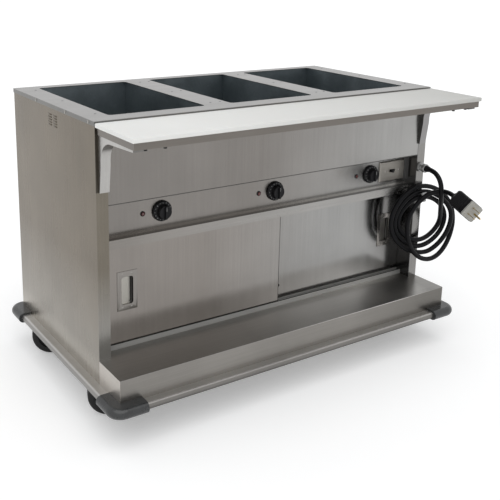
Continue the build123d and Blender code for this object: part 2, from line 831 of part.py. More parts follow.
# Board and shelf places
board_top = table_height - board_drop
shelf_top = board_top - board_thick
board_front = front_y - board_reach
board_back = front_y - sheet - board_back_gap
shelf_half = body_length / 2 - shelf_end_gap
shelf_front = board_front + shelf_front_gap
flange_bottom = shelf_top - sheet - shelf_flange
pin_y = board_front + pin_front_inset
pin_xs = [side * (body_length / 2 - pin_end_inset - i * pin_pitch) for side in sides.values() for i in (0, 1)]


def make_board():
    board = block(-body_length / 2, body_length / 2, board_front, board_back, shelf_top, board_top)
    return fillet(board.edges(), board_round)


def make_pins():
    return [post_bar(x, pin_y, shelf_top - pin_length, shelf_top, pin_dia) for x in pin_xs]


def make_shelf():
    """Tray under the board with turned-down edges and a back flange on the apron."""
    under = shelf_top - sheet
    back_half = bracket_inner - bracket_flange_gap
    deck = block(-shelf_half, shelf_half, shelf_front, front_y, under, shelf_top)
    face = block(-shelf_half, shelf_half, shelf_front, shelf_front + sheet, flange_bottom, shelf_top)
    back = block(-back_half, back_half, front_y - sheet, front_y, under - shelf_back_flange, shelf_top)
    tray = deck + face + back
    for side in sides.values():
        tray += mirror_block(side, shelf_half - sheet, shelf_half, shelf_front, front_y, flange_bottom, shelf_top)
    for x in pin_xs:
        tray -= post_bar(x, pin_y, under - sheet, shelf_top + sheet, pin_dia + 2 * pin_hole_gap)
    return tray


def bracket_face(inset):
    """Side view of a shelf bracket, or of its hollow where inset is the wall's thickness."""
    top = shelf_top - sheet
    low = bracket_bottom + inset
    foot = bracket_foot - inset
    shoulder = bracket_shoulder - inset
    arm_low = top - bracket_arm_depth + inset
    shoulder_z = top - bracket_arm_depth - bracket_shoulder_drop
    bend = bracket_bend + inset
    tip = -(board_reach - shelf_front_gap - sheet - bracket_arm_gap) + inset
    tip_low = top - bracket_tip_depth + inset
    bend_x = -shoulder - bend
    bend_z = arm_low - bend
    half_turn = bend * math.sqrt(0.5)
    bend_start = (-shoulder, bend_z)
    bend_end = (bend_x, arm_low)
    outline = [
        Line((0, low), (-foot, low)),
        Line((-foot, low), (-shoulder, shoulder_z)),
        Line((-shoulder, shoulder_z), bend_start),
        ThreePointArc(bend_start, (bend_x + half_turn, bend_z + half_turn), bend_end),
        Line(bend_end, (tip, tip_low)),
        Line((tip, tip_low), (tip, top)),
        Line((tip, top), (0, top)),
        Line((0, top), (0, low)),
    ]
    return make_face(outline)


def make_bracket(side):
    """Pressed channel bracket: a strip up the post that sweeps out under the shelf, and two webs."""
    x0 = min(side * bracket_outer, side * bracket_inner)
    outer = Plane(origin=(x0, front_y, 0), x_dir=(0, 1, 0), z_dir=(1, 0, 0))
    inner = Plane(origin=(x0 + bracket_wall, front_y, 0), x_dir=(0, 1, 0), z_dir=(1, 0, 0))
    channel = extrude(outer * bracket_face(0), bracket_width)
    return channel - extrude(inner * bracket_face(bracket_wall), bracket_width - 2 * bracket_wall)


def make_screws():
    """Round-headed screws of the top skirt and of the cord hook."""
    screws = []
    for side in sides.values():
        out = side * body_length / 2
        for y in skirt_screw_ys:
            head = side_rod(out, out + side * screw_head_thick, front_y + y, skirt_screw_z, screw_head_dia)
            shank = side_rod(out, out - side * screw_length, front_y + y, skirt_screw_z, screw_dia)
            screws.append(head + shank)
    for z in hook_screw_zs:
        face = front_y - hook_thick
        head = rod(hook_x, face - screw_head_thick, face, z, screw_head_dia)
        shank = rod(hook_x, face, face + screw_length, z, screw_dia)
        screws.append(head + shank)
    return screws


def make_gland():
    """Cord connector on the right post: lock ring, neck, clamp nut and the shank in the post."""
    ring = rod(gland_x, front_y - gland_flange_thick, front_y, gland_z, gland_flange_dia)
    neck = rod(gland_x, front_y - gland_length, front_y + sheet + gland_shank, gland_z, gland_neck_dia)
    nut = rod(gland_x, front_y - gland_length, front_y - gland_length + gland_nut_thick, gland_z, gland_nut_dia)
    return ring + neck + nut


def make_hook():
    """J-shaped strip on the right post that the coil hangs on."""
    half = hook_width / 2
    low = hook_bottom
    back = block(hook_x - half, hook_x + half, front_y - hook_thick, front_y, low, hook_top)
    seat = block(hook_x - half, hook_x + half, front_y - 2 * hook_thick - hook_gap, front_y, low, low + hook_thick)
    lip = block(hook_x - half, hook_x + half, front_y - 2 * hook_thick - hook_gap,
                front_y - hook_thick - hook_gap, low, low + hook_lip)
    hook = back + seat + lip
    corners = hook.edges().filter_by(Axis.X).group_by(Axis.Z)[0]
    hook = fillet(corners, hook_thick)
    for hole in post_screw_holes(hook_x, hook_screw_zs, screw_dia + 2 * screw_hole_gap):
        hook -= hole
    return hook


def ease(share):
    """Runs from 0 to 1 with level ends."""
    share = min(1.0, max(0.0, share))
    return share * share * (3 - 2 * share)


def coil_corners():
    """The lowest, leftmost, highest and rightmost place of every turn, as the cord passes them."""
    corners = []
    for i, bottom in enumerate(turn_bottoms):
        corners += [bottom, turn_lefts[i]]
        if i < len(turn_rights):
            corners += [(pass_xs[i], pass_y, lowest_pass_z + i * pass_pitch), turn_rights[i]]
    return [Vector(hook_x + x, front_y + y, z) for x, y, z in corners]


corners = coil_corners()


def coil_point(quarter):
    """A point of the coil after so many quarter turns, each a quarter of an oval between two corners."""
    index = min(int(quarter), len(corners) - 2)
    part = quarter - index
    step = corners[index + 1] - corners[index]
    early = math.sin(part * math.pi / 2)
    late = 1 - math.cos(part * math.pi / 2)
    leaves_level = index % 2 == 0
    across = early if leaves_level else late
    along = late if leaves_level else early
    return corners[index] + Vector(step.X * across, step.Y * ease(part), step.Z * along)


def coil_heading(quarter):
    """Direction of the cord at a point of the coil."""
    step = 0.0001
    return (coil_point(quarter + step) - coil_point(quarter - step)).normalized()


def biarc(start, start_dir, end, end_dir):
    """Two arcs that join two points and keep both directions."""
    chord = end - start
    both = start_dir + end_dir
    spread = 2 * (1 - start_dir.dot(end_dir))
    lean = chord.dot(both)
    reach = (-lean + math.sqrt(lean * lean + spread * chord.dot(chord))) / spread
    joint = (start + end + (start_dir - end_dir) * reach) * 0.5
    first = Edge.make_tangent_arc(start, start_dir, joint)
    second = Edge.make_tangent_arc(joint, first % 1, end)
    return [first, second]


def coil_path():
    """The coil's middle line, from knots at every quarter turn."""
    edges = []
    for i in range(len(corners) - 1):
        edges += biarc(corners[i], coil_heading(i), corners[i + 1], coil_heading(i + 1))
    return Wire(edges)


def bend_radii(points):
    """The radius at each bend of a free stretch, from its runs and turns."""
    radii = []
    for a, b, c in zip(points, points[1:], points[2:]):
        turn = (b - a).get_angle(c - b)
        shorter = min((b - a).length, (c - b).length)
        radii.append(bend_share * shorter / math.tan(math.radians(turn) / 2))
    return radii


def free_path(points):
    """A free stretch: straight runs with an arc at each bend."""
    return FilletPolyline(*points, radius=bend_radii(points))


def tube_along(path):
    """Round cord along a path."""
    section = Plane(origin=path @ 0, z_dir=path % 0) * Circle(cord_dia / 2)
    return sweep(section, path=path)


gland_tip = Vector(gland_x, front_y - gland_length, gland_z)
coil_start = corners[0]
coil_end = corners[-1]
last_quarter = len(corners) - 1
lead_points = [gland_tip]
lead_points += [gland_tip + Vector(*bend) for bend in lead_bends]
lead_points += [coil_start - coil_heading(0) * lead_run, coil_start]
tail_points = [coil_end, coil_end + coil_heading(last_quarter) * tail_run]
tail_points += [coil_end + Vector(*bend) for bend in tail_bends]
tail_points += [coil_end + Vector(*tail_end)]
plug_axis = (tail_points[-1] - tail_points[-2]).normalized()
plug_back = tail_points[-1]


def plug_plane(distance):
    """A cross-section of the plug, so far from its cord end, with its sides turned to the front."""
    level = plug_axis.cross(Vector(plug_roll))
    return Plane(origin=plug_back + plug_axis * distance, x_dir=level, z_dir=plug_axis)


def make_plug_body():
    clamp = extrude(plug_plane(0) * Circle(plug_clamp_dia / 2), plug_clamp_length)
    case = extrude(plug_plane(plug_clamp_length) * RectangleRounded(plug_size, plug_size, plug_corner), plug_length)
    return clamp + case


plug_face_start = plug_clamp_length + plug_length
plug_face_end = plug_face_start + plug_face_thick


def make_plug_blades():
    """Two flat blades and a round ground pin, set into the plug's face."""
    base = plug_plane(plug_face_end - blade_root)
    length = blade_root + blade_length
    blades = [extrude(base * (Pos(y, x) * Rectangle(blade_thick, blade_width)), length) for x, y in blade_places]
    pin = extrude(base * (Pos(ground_place[1], ground_place[0]) * Circle(ground_dia / 2)), length)
    return blades + [pin]


def make_plug_face():
    size = plug_size - 2 * plug_face_inset
    face = extrude(plug_plane(plug_face_start) * RectangleRounded(size, size, plug_corner - plug_face_inset),
                   plug_face_thick)
    for blade in make_plug_blades():
        face -= blade
    return face


def least_gap(paths, length):
    """Smallest gap of the cord to another stretch of itself, on points along its middle line."""
    spacing = cord_dia / 4
    points = []
    for path in paths:
        count = int(path.length / spacing)
        points += [path @ (i / count) for i in range(count)]
    skip = int(length / spacing)
    least = math.inf
    for i, a in enumerate(points):
        for b in points[i + skip:]:
            least = min(least, (a - b).length)
    return least - cord_dia


lead_line = free_path(lead_points)
coil_line = coil_path()
tail_line = free_path(tail_points)
cord_lead = tube_along(lead_line)
cord_coil = tube_along(coil_line)
cord_tail = tube_along(tail_line)
neighbour_length = 6 * cord_dia
print("lead radii", [round(r, 1) for r in bend_radii(lead_points)])
print("tail radii", [round(r, 1) for r in bend_radii(tail_points)])
print("coil arcs, least radius", round(min(edge.radius for edge in coil_line.edges()), 1))
print("least gap of the cord to itself", round(least_gap([lead_line, coil_line, tail_line], neighbour_length), 2))
section_area = math.pi * cord_dia * cord_dia / 4
for label, tube, line in (("lead", cord_lead, lead_line), ("coil", cord_coil, coil_line),
                          ("tail", cord_tail, tail_line)):
    print(label, "length", round(line.length, 1), "volume share", round(tube.volume / section_area / line.length, 4))

save("cord_lead", cord_lead)
save("cord_coil", cord_coil)
save("cord_tail", cord_tail)
save("plug_body", make_plug_body())
save("plug_face", make_plug_face())
save("plug_blades", *make_plug_blades())
save("cord_gland", make_gland())
save("cord_hook", make_hook())

save("top_plate", make_top_plate())
for name, x in zip(("left", "centre", "right"), well_xs):
    save(name + "_well", make_well(x))
save("heating_elements", *[make_element(x) for x in well_xs])
for name, side in sides.items():
    save(name + "_side_panel", make_side_panel(side))
save("rear_panel", make_rear_panel())
save("front_apron", make_front_apron())
save("control_panel", make_control_panel())
save("control_box", make_control_box())
save("door_header", make_door_header())
save("lower_track", make_lower_track())
save("cabinet_floor", make_cabinet_floor())
save("base_ledge", make_base_ledge())
save("caster_rails", *[make_rail(side) for side in sides.values()])
save("thermostats", *[make_thermostat(x) for x in knob_xs])
save("pilot_lamps", *[make_lamp(x - lamp_offset) for x in knob_xs])
save("switch_plate", make_switch_plate())
save("switch_body", make_switch_body())
save("switch_toggle", make_toggle())
for name, x in zip(("left", "centre", "right"), knob_xs):
    save(name + "_knob", make_knob(x))
for name in sides:
    save(name + "_door", make_door(name))
    save(name + "_pull", make_pull(name))
    save(name + "_door_glides", *make_glides(name))
save("cutting_board", make_board())
save("board_pins", *make_pins())
save("board_shelf", make_shelf())
save("shelf_brackets", *[make_bracket(side) for side in sides.values()])
save("sheet_screws", *make_screws())
save("bumper_rails", *make_bumper_rails())
save("corner_bumpers", *[make_corner_bumper(side * corner_x, y, -side, to_y)
                         for side in sides.values() for y, to_y in ((corner_front_y, 1), (corner_rear_y, -1))])
save("bumper_brackets", *make_bumper_brackets())
save("caster_plates", *[make_caster_plate(x, y) for x, y in caster_spots.values()])
save("caster_bolts", *[bolt for x, y in caster_spots.values() for bolt in make_caster_bolts(x, y)])
for name, (x, y) in caster_spots.items():
    save(name + "_fork", at_caster(x, y, make_fork()))
    save(name + "_axle", at_caster(x, y, make_axle()))
    save(name + "_wheel", at_caster(x, y, make_wheel()))
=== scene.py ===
# %% [markdown]
# # A hot food table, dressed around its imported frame
# The frame holds every rigid piece in its true place, in metres. This lesson
# gives each piece its finish, models the small pieces that the frame keeps
# plain, lays the cord as a smooth curve and sets up the camera and the light.

# %% Load the frame
import json
import math

import bpy
from mathutils import Matrix, Vector


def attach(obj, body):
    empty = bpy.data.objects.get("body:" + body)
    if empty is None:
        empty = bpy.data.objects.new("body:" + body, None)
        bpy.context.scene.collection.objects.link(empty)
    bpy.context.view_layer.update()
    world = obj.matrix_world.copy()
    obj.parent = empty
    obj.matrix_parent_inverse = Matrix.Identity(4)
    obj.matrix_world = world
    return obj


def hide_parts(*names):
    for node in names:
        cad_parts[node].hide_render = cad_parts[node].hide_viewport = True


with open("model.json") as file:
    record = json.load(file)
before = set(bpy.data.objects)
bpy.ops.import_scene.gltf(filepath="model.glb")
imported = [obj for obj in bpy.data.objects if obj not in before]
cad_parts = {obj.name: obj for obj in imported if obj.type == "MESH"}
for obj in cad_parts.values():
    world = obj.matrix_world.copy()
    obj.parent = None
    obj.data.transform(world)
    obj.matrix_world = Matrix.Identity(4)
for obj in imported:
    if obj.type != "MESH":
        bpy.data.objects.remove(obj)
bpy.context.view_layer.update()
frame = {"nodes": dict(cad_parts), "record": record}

# %% [markdown]
# ## The camera
# The view comes from a camera solved on the table's own edges: it stands to the
# left of the front, a little above the deck, and leans by less than a degree.
# A lens shift keeps the photograph's off-centre crop without turning the view.

# %% Camera
VIEW_TURN = math.radians(-33.03)
VIEW_DROP = math.radians(13.83)
VIEW_LEAN = math.radians(0.89)
CAMERA_PLACE = Vector((-1.44473, -2.05372, 1.27197))
IMAGE_SIDE = 500.0
FOCAL_PIXELS = 806.21
PRINCIPAL_POINT = (213.36, 155.65)
SENSOR_WIDTH = 36.0
NEAR_CLIP = 0.05

scene = bpy.context.scene
ahead = Vector((-math.sin(VIEW_TURN) * math.cos(VIEW_DROP),
                math.cos(VIEW_TURN) * math.cos(VIEW_DROP), -math.sin(VIEW_DROP)))
level = Vector((math.cos(VIEW_TURN), math.sin(VIEW_TURN), 0))
upright = level.cross(ahead)
view_right = level * math.cos(VIEW_LEAN) + upright * math.sin(VIEW_LEAN)
view_up = upright * math.cos(VIEW_LEAN) - level * math.sin(VIEW_LEAN)
camera_data = bpy.data.cameras.new("table_camera")
camera_data.sensor_width = SENSOR_WIDTH
camera_data.lens = SENSOR_WIDTH * FOCAL_PIXELS / IMAGE_SIDE
camera_data.shift_x = (IMAGE_SIDE / 2 - PRINCIPAL_POINT[0]) / IMAGE_SIDE
camera_data.shift_y = (PRINCIPAL_POINT[1] - IMAGE_SIDE / 2) / IMAGE_SIDE
camera_data.clip_start = NEAR_CLIP
camera = bpy.data.objects.new("table_camera", camera_data)
scene.collection.objects.link(camera)
camera.matrix_world = Matrix.Translation(CAMERA_PLACE) @ Matrix(
    (view_right, view_up, -ahead)).transposed().to_4x4()
scene.camera = camera
print("lens", round(camera_data.lens, 2))
print("shift", round(camera_data.shift_x, 3), round(camera_data.shift_y, 3))

# %% [markdown]
# ## Shared helpers for finishes
# A finish is a Principled shader whose colour, roughness and bump are driven by
# noise on the object's own coordinates. Streaks are noise squeezed along the
# grain. Small helpers keep each recipe short and readable.

# %% Helpers for finishes
NOISE_LOW = 0.3
NOISE_HIGH = 0.7


def new_finish(name, roughness, metallic=0.0):
    """A material with its node tree, its shader and a source of object coordinates."""
    finish = bpy.data.materials.new(name)
    finish.use_nodes = True
    tree = finish.node_tree
    shader = tree.nodes["Principled BSDF"]
    shader.inputs["Roughness"].default_value = roughness
    shader.inputs["Metallic"].default_value = metallic
    coords = tree.nodes.new("ShaderNodeTexCoord")
    return finish, tree, shader, coords


def noise(tree, coords, scale, detail=3.0):
    """Noise with its own scale on each axis, in cycles a metre."""
    mapping = tree.nodes.new("ShaderNodeMapping")
    mapping.inputs["Scale"].default_value = scale
    tree.links.new(coords.outputs["Object"], mapping.inputs["Vector"])
    texture = tree.nodes.new("ShaderNodeTexNoise")
    texture.inputs["Scale"].default_value = 1.0
    texture.inputs["Detail"].default_value = detail
    tree.links.new(mapping.outputs["Vector"], texture.inputs["Vector"])
    return texture.outputs["Fac"]


def ramp(tree, factor, stops):
    """Colours along a factor; stops are (position, colour)."""
    node = tree.nodes.new("ShaderNodeValToRGB")
    elements = node.color_ramp.elements
    for element, (position, colour) in zip(elements, (stops[0], stops[-1])):
        element.position = position
        element.color = (*colour, 1)
    for position, colour in stops[1:-1]:
        elements.new(position).color = (*colour, 1)
    tree.links.new(factor, node.inputs["Fac"])
    return node.outputs["Color"]


def even(level):
    """A grey with the same level in each channel."""
    return (level, level, level)


def tinted(tree, factor, low, high):
    """Two colours over the span where noise mostly lies."""
    return ramp(tree, factor, [(NOISE_LOW, low), (NOISE_HIGH, high)])


def spread(tree, factor, low, high):
    """Noise stretched so that the span where it mostly lies runs from low to high."""
    node = tree.nodes.new("ShaderNodeMapRange")
    node.inputs["From Min"].default_value = NOISE_LOW
    node.inputs["From Max"].default_value = NOISE_HIGH
    node.inputs["To Min"].default_value = low
    node.inputs["To Max"].default_value = high
    tree.links.new(factor, node.inputs["Value"])
    return node.outputs["Result"]


def layered(tree, colour, *layers):
    """A colour multiplied by one layer after another."""
    for layer in layers:
        node = tree.nodes.new("ShaderNodeMix")
        node.data_type = "RGBA"
        node.blend_type = "MULTIPLY"
        node.inputs["Factor"].default_value = 1.0
        tree.links.new(colour, node.inputs["A"])
        tree.links.new(layer, node.inputs["B"])
        colour = node.outputs["Result"]
    return colour


def paint(tree, shader, colour, sheen):
    """Feeds a shader's colour and its roughness."""
    tree.links.new(colour, shader.inputs["Base Color"])
    tree.links.new(sheen, shader.inputs["Roughness"])


def adjust(finish, socket, value):
    """Sets one input of a finish's shader."""
    finish.node_tree.nodes["Principled BSDF"].inputs[socket].default_value = value


def add_bump(tree, shader, height, strength, depth):
    """Fine relief from a factor."""
    bump = tree.nodes.new("ShaderNodeBump")
    bump.inputs["Strength"].default_value = strength
    bump.inputs["Distance"].default_value = depth
    tree.links.new(height, bump.inputs["Height"])
    tree.links.new(bump.outputs["Normal"], shader.inputs["Normal"])


def shade(colour, share):
    """A colour made darker or lighter."""
    return tuple(min(1.0, c * share) for c in colour)


# %% [markdown]
# ## Brushed stainless sheet
# The cabinet is brushed sheet: fine scratches along the grain, wider soft bands
# that catch the light differently, and a faint cloudiness from wiping. The
# grain runs up the panels and along the deck, so one recipe takes its direction.
# A picture of steel would need a map on every sheet, while noise on object
# coordinates runs over all of them without a seam.

# %% Brushed sheet recipe
FINE_GRAIN = 900.0
STREAK_GRAIN = 210.0
BAND_GRAIN = 26.0
ALONG_GRAIN = 3.0
CLOUD_SCALE = (5.0, 5.0, 5.0)
FINE_DETAIL = 2.0
STREAK_DETAIL = 3.0
BAND_DETAIL = 4.0
CLOUD_DETAIL = 5.0
BAND_LOW = 0.25
BAND_HIGH = 0.75
FINE_TONES = (even(0.93), even(1.0))
STREAK_TONES = (even(0.955), even(1.02))
SHEEN_DOWN = 0.02
SHEEN_UP = 0.03
BRUSH_RELIEF = 0.12
BRUSH_DEPTH = 0.0002


def along(grain, across):
    """Noise scale that is slow along the grain axis and fast across it."""
    return tuple(ALONG_GRAIN if axis == grain else across for axis in "xyz")


def run_of(tree, coords, axis, start, end):
    """A factor that goes from 0 to 1 between two places on an axis."""
    parts = tree.nodes.new("ShaderNodeSeparateXYZ")
    tree.links.new(coords.outputs["Object"], parts.inputs["Vector"])
    place = tree.nodes.new("ShaderNodeMapRange")
    place.inputs["From Min"].default_value = start
    place.inputs["From Max"].default_value = end
    tree.links.new(parts.outputs[axis.upper()], place.inputs["Value"])
    return place.outputs["Result"]


def fade(tree, coords, last, *runs):
    """A tone that grows from none to last along one run, or where several runs meet."""
    factor = run_of(tree, coords, *runs[0])
    for run in runs[1:]:
        both = tree.nodes.new("ShaderNodeMath")
        both.operation = "MULTIPLY"
        tree.links.new(factor, both.inputs[0])
        tree.links.new(run_of(tree, coords, *run), both.inputs[1])
        factor = both.outputs["Value"]
    return ramp(tree, factor, [(0.0, even(1.0)), (1.0, last)])


def brushed(name, colour, grain, roughness, band=0.025, cloud=0.06, fades=()):
    """Brushed sheet with its grain along an axis; fades are its painted reflection and shade."""
    finish, tree, shader, coords = new_finish(name, roughness, 1.0)
    fine = noise(tree, coords, along(grain, FINE_GRAIN), FINE_DETAIL)
    streaks = noise(tree, coords, along(grain, STREAK_GRAIN), STREAK_DETAIL)
    bands = noise(tree, coords, along(grain, BAND_GRAIN), BAND_DETAIL)
    clouds = noise(tree, coords, CLOUD_SCALE, CLOUD_DETAIL)
    dark = shade(colour, 1 - band)
    light = shade(colour, 1 + band)
    mixed = layered(
        tree, ramp(tree, bands, [(BAND_LOW, dark), (BAND_HIGH, light)]),
        tinted(tree, fine, *FINE_TONES),
        tinted(tree, streaks, *STREAK_TONES),
        tinted(tree, clouds, even(1 - cloud), even(1 + cloud)),
        *[fade(tree, coords, *tone) for tone in fades])
    sheen = spread(tree, bands, roughness - SHEEN_DOWN, roughness + SHEEN_UP)
    paint(tree, shader, mixed, sheen)
    add_bump(tree, shader, fine, BRUSH_RELIEF, BRUSH_DEPTH)
    return finish


# %% [markdown]
# ## Painted reflection and shade by place
# A real sheet mirrors the room around it, so its tone drifts along a panel.
# These tones are painted reflection and painted shade: each one makes a part of
# a sheet lighter or darker. Each tone is a colour factor and the run, or runs,
# over which it grows: an axis, a start and an end. Where a tone has several runs,
# they are multiplied. Every sheet has its own finish, because each one faces
# another part of the room.

# %% Painted reflection and shade by place
# Painted shade: the apron, panel and doors darker towards the left.
LEFT_SHADE = ((0.65, 0.615, 0.59), ("x", 0.42, -0.08))
DOOR_SHADE = ((0.76, 0.715, 0.68), ("x", 0.25, -0.25))
# Painted reflection: the doors lighter towards their foot.
DOOR_FOOT_LIGHT = ((1.5, 1.5, 1.52), ("z", 0.31, 0.205))
# Painted reflection: the left side lighter and bluer towards the bottom, most of all at its hem.
SIDE_FOOT_LIGHT = ((1.85, 2.05, 2.4), ("z", 0.46, 0.16))
SIDE_HEM_LIGHT = (even(1.5), ("z", 0.21, 0.13))
FRONT_FACE = ("y", -0.2112, -0.2123)
# Painted light on the post's front face.
POST_FACE_LIGHT = ((1.2, 1.28, 1.4), FRONT_FACE)
# Painted shade on the right door jamb.
JAMB_SHADE = ((0.42, 0.43, 0.45), ("x", 0.5752, 0.5747))
# Painted light on the ledge's left end face.
LEDGE_END_LIGHT = ((2.15, 2.12, 2.1), ("x", -0.6072, -0.6078))
STEP_TOP = ("z", 0.1935, 0.1945)
STEP_FACE = ("z", 0.1945, 0.1935)
# Painted shade on the ledge's front face, painted reflection lighter on its top towards the right,
# and painted shade at its right tip and on the right of its face.
LEDGE_FACE_SHADE = ((0.86, 0.84, 0.82), STEP_FACE)
LEDGE_RIGHT_LIGHT = ((2.3, 2.3, 2.32), STEP_TOP, ("x", -0.15, 0.35))
LEDGE_TIP_SHADE = ((0.36, 0.36, 0.355), STEP_TOP, ("x", 0.40, 0.56))
LEDGE_NEAR_SHADE = ((0.62, 0.62, 0.61), STEP_FACE, ("x", 0.2, 0.6))
# Painted shade on the deck's skirt.
DECK_SKIRT_SHADE = ((0.60, 0.597, 0.58), ("z", 0.8630, 0.8622))
HEADER_SHADE = ((0.72, 0.69, 0.66), ("x", 0.2, -0.56))
TRACK_TOP = ("z", 0.5286, 0.5290)
TRACK_BACK = ("y", -0.179, -0.174)
# Painted reflection on the header's top: lighter at the back and towards the right, darker at the
# front.
HEADER_TOP_LIGHT = (even(1.5), TRACK_TOP, TRACK_BACK)
HEADER_NEAR_SHADE = (even(0.86), TRACK_TOP, ("y", -0.174, -0.179))
HEADER_RIGHT_LIGHT = (even(1.7), TRACK_TOP, TRACK_BACK, ("x", -0.3, 0.45))
# Painted shade on the bumper rail: darker underneath and below its crest, and more so along the
# front.
RAIL_UNDER_SHADE = ((0.40, 0.392, 0.382), ("z", 0.1165, 0.1085))
BELOW_CREST = ("z", 0.1256, 0.1222)
RAIL_ROUND_SHADE = ((0.56, 0.556, 0.55), BELOW_CREST)
RAIL_NOSE_SHADE = ((0.68, 0.67, 0.66), BELOW_CREST, ("x", -0.604, -0.596))
# Painted reflection: the right door darker at its right end, where it mirrors the dark jamb.
DOOR_END_SHADE = ((0.66, 0.65, 0.645), ("x", 0.42, 0.50))
RIGHT_HALF = ("x", -0.1, 0.1)
# Painted shade on the shelf brackets: the right bracket darker, most of all on its inner web, and
# darker at the front ends.
BRACKET_RIGHT_SHADE = ((0.62, 0.62, 0.64), RIGHT_HALF)
BRACKET_WEB_SHADE = ((0.30, 0.30, 0.29), ("x", 0.5726, 0.5721), RIGHT_HALF)
BRACKET_TIP_SHADE = ((0.42, 0.415, 0.41), ("y", -0.4072, -0.4078))
# Painted shade on the post's front face, in the gap beside the left bracket.
POST_GAP_SHADE = (even(0.36), FRONT_FACE, ("x", -0.5990, -0.6003), ("z", 0.672, 0.676))
BOARD_SHADE = ((0.59, 0.588, 0.575), ("x", -0.45, 0.66))

# %% Brushed finishes
TRACK_METALLIC = 0.35
# The sheets are one stainless steel. Their base colours differ, lighter or darker and warmer or
# cooler, as painted reflection of the part of the room each faces.
panel_steel = brushed("panel_steel", (0.335, 0.331, 0.322), "z", 0.24, fades=[LEFT_SHADE])
left_door_steel = brushed("left_door_steel", (0.335, 0.328, 0.318), "z", 0.21,
                          fades=[DOOR_SHADE, DOOR_FOOT_LIGHT])
right_door_steel = brushed("right_door_steel", (0.318, 0.316, 0.309), "z", 0.18,
                           fades=[DOOR_SHADE, DOOR_FOOT_LIGHT, DOOR_END_SHADE])
left_side_steel = brushed("left_side_steel", (0.155, 0.130, 0.098), "z", 0.26, cloud=0.10,
                          fades=[SIDE_FOOT_LIGHT, SIDE_HEM_LIGHT, POST_FACE_LIGHT, POST_GAP_SHADE])
right_side_steel = brushed("right_side_steel", (0.25, 0.244, 0.235), "z", 0.2, fades=[JAMB_SHADE])
deck_steel = brushed("deck_steel", (0.272, 0.267, 0.262), "x", 0.30, fades=[DECK_SKIRT_SHADE])
ledge_steel = brushed("ledge_steel", (0.30, 0.292, 0.278), "x", 0.32,
                      fades=[LEDGE_END_LIGHT, LEDGE_FACE_SHADE, LEDGE_RIGHT_LIGHT, LEDGE_TIP_SHADE, LEDGE_NEAR_SHADE])
shelf_steel = brushed("shelf_steel", (0.175, 0.160, 0.145), "x", 0.30)
header_steel = brushed("header_steel", (0.345, 0.337, 0.325), "x", 0.26,
                       fades=[HEADER_SHADE, HEADER_TOP_LIGHT, HEADER_NEAR_SHADE, HEADER_RIGHT_LIGHT])
bracket_steel = brushed("bracket_steel", (0.44, 0.43, 0.415), "z", 0.32,
                        fades=[BRACKET_RIGHT_SHADE, BRACKET_WEB_SHADE, BRACKET_TIP_SHADE])
tube_steel = brushed("tube_steel", (0.52, 0.51, 0.495), "x", 0.40,
                     fades=[RAIL_UNDER_SHADE, RAIL_ROUND_SHADE, RAIL_NOSE_SHADE])
plate_steel = brushed("plate_steel", (0.36, 0.34, 0.31), "x", 0.44)
plated_steel = brushed("plated_steel", (0.30, 0.30, 0.30), "z", 0.28)
inner_steel = brushed("inner_steel", (0.20, 0.206, 0.21), "x", 0.42)
# Dark steel for the apron's hem and the door's edge: painted shade on real edges.
shaded_hem_steel = brushed("shaded_hem_steel", (0.12, 0.117, 0.112), "x", 0.4)
pull_steel = brushed("pull_steel", (0.255, 0.240, 0.224), "z", 0.26)
# The pull is one steel: the lighter cup steel is painted light on the recess's shallow side, the
# near black lip steel painted shade on its deep side.
lit_cup_steel = brushed("lit_cup_steel", (0.42, 0.405, 0.37), "z", 0.36)
shaded_lip_steel = brushed("shaded_lip_steel", (0.06, 0.058, 0.055), "z", 0.34)
screw_steel = brushed("screw_steel", (0.40, 0.39, 0.37), "x", 0.26)
track_steel = brushed("track_steel", (0.34, 0.335, 0.322), "x", 0.45)
adjust(track_steel, "Metallic", TRACK_METALLIC)
print("brushed finishes", len(bpy.data.materials))

# %% [markdown]
# ## Galvanised well liners
# The wells are lined with galvanised sheet. Its spangle is a patchwork of zinc
# crystals, each with its own shade, so a Voronoi pattern gives the patches and
# a slow noise the stains. Noise alone would blur the edges of the crystals. The
# whole reads as a dark blue grey.

# %% Liner and heater finishes
ZINC_METALLIC = 0.85
STAIN_SCALE = (9.0, 9.0, 9.0)
STAIN_DETAIL = 5.0
STAIN_SHEEN = 0.08
STAIN_TONES = ((0.88, 0.89, 0.89), even(1.0))
PATCH_LOW = 0.1
PATCH_HIGH = 0.9
SPANGLE_RELIEF = 0.08
SPANGLE_DEPTH = 0.0003


def spangled(name, dark, light, cells, roughness):
    """Zinc-like metal with patches between two shades, so many to the metre."""
    finish, tree, shader, coords = new_finish(name, roughness, ZINC_METALLIC)
    patches = tree.nodes.new("ShaderNodeTexVoronoi")
    patches.inputs["Scale"].default_value = cells
    tree.links.new(coords.outputs["Object"], patches.inputs["Vector"])
    grey = tree.nodes.new("ShaderNodeRGBToBW")
    tree.links.new(patches.outputs["Color"], grey.inputs["Color"])
    patch_stops = [(PATCH_LOW, dark), (PATCH_HIGH, light)]
    patch_colour = ramp(tree, grey.outputs["Val"], patch_stops)
    stains = noise(tree, coords, STAIN_SCALE, STAIN_DETAIL)
    stain_colour = tinted(tree, stains, *STAIN_TONES)
    sheen = spread(tree, stains, roughness - STAIN_SHEEN, roughness + STAIN_SHEEN)
    paint(tree, shader, layered(tree, patch_colour, stain_colour), sheen)
    add_bump(tree, shader, grey.outputs["Val"], SPANGLE_RELIEF, SPANGLE_DEPTH)
    return finish


liner_zinc = spangled("liner_zinc", (0.195, 0.225, 0.241), (0.215, 0.248, 0.265), 95.0, 0.36)
heater_sheath = spangled("heater_sheath", (0.07, 0.066, 0.062), (0.13, 0.12, 0.11), 240.0, 0.5)
gland_metal = spangled("gland_metal", (0.30, 0.30, 0.30), (0.42, 0.42, 0.415), 420.0, 0.36)
print("spangled", liner_zinc.name, heater_sheath.name, gland_metal.name)

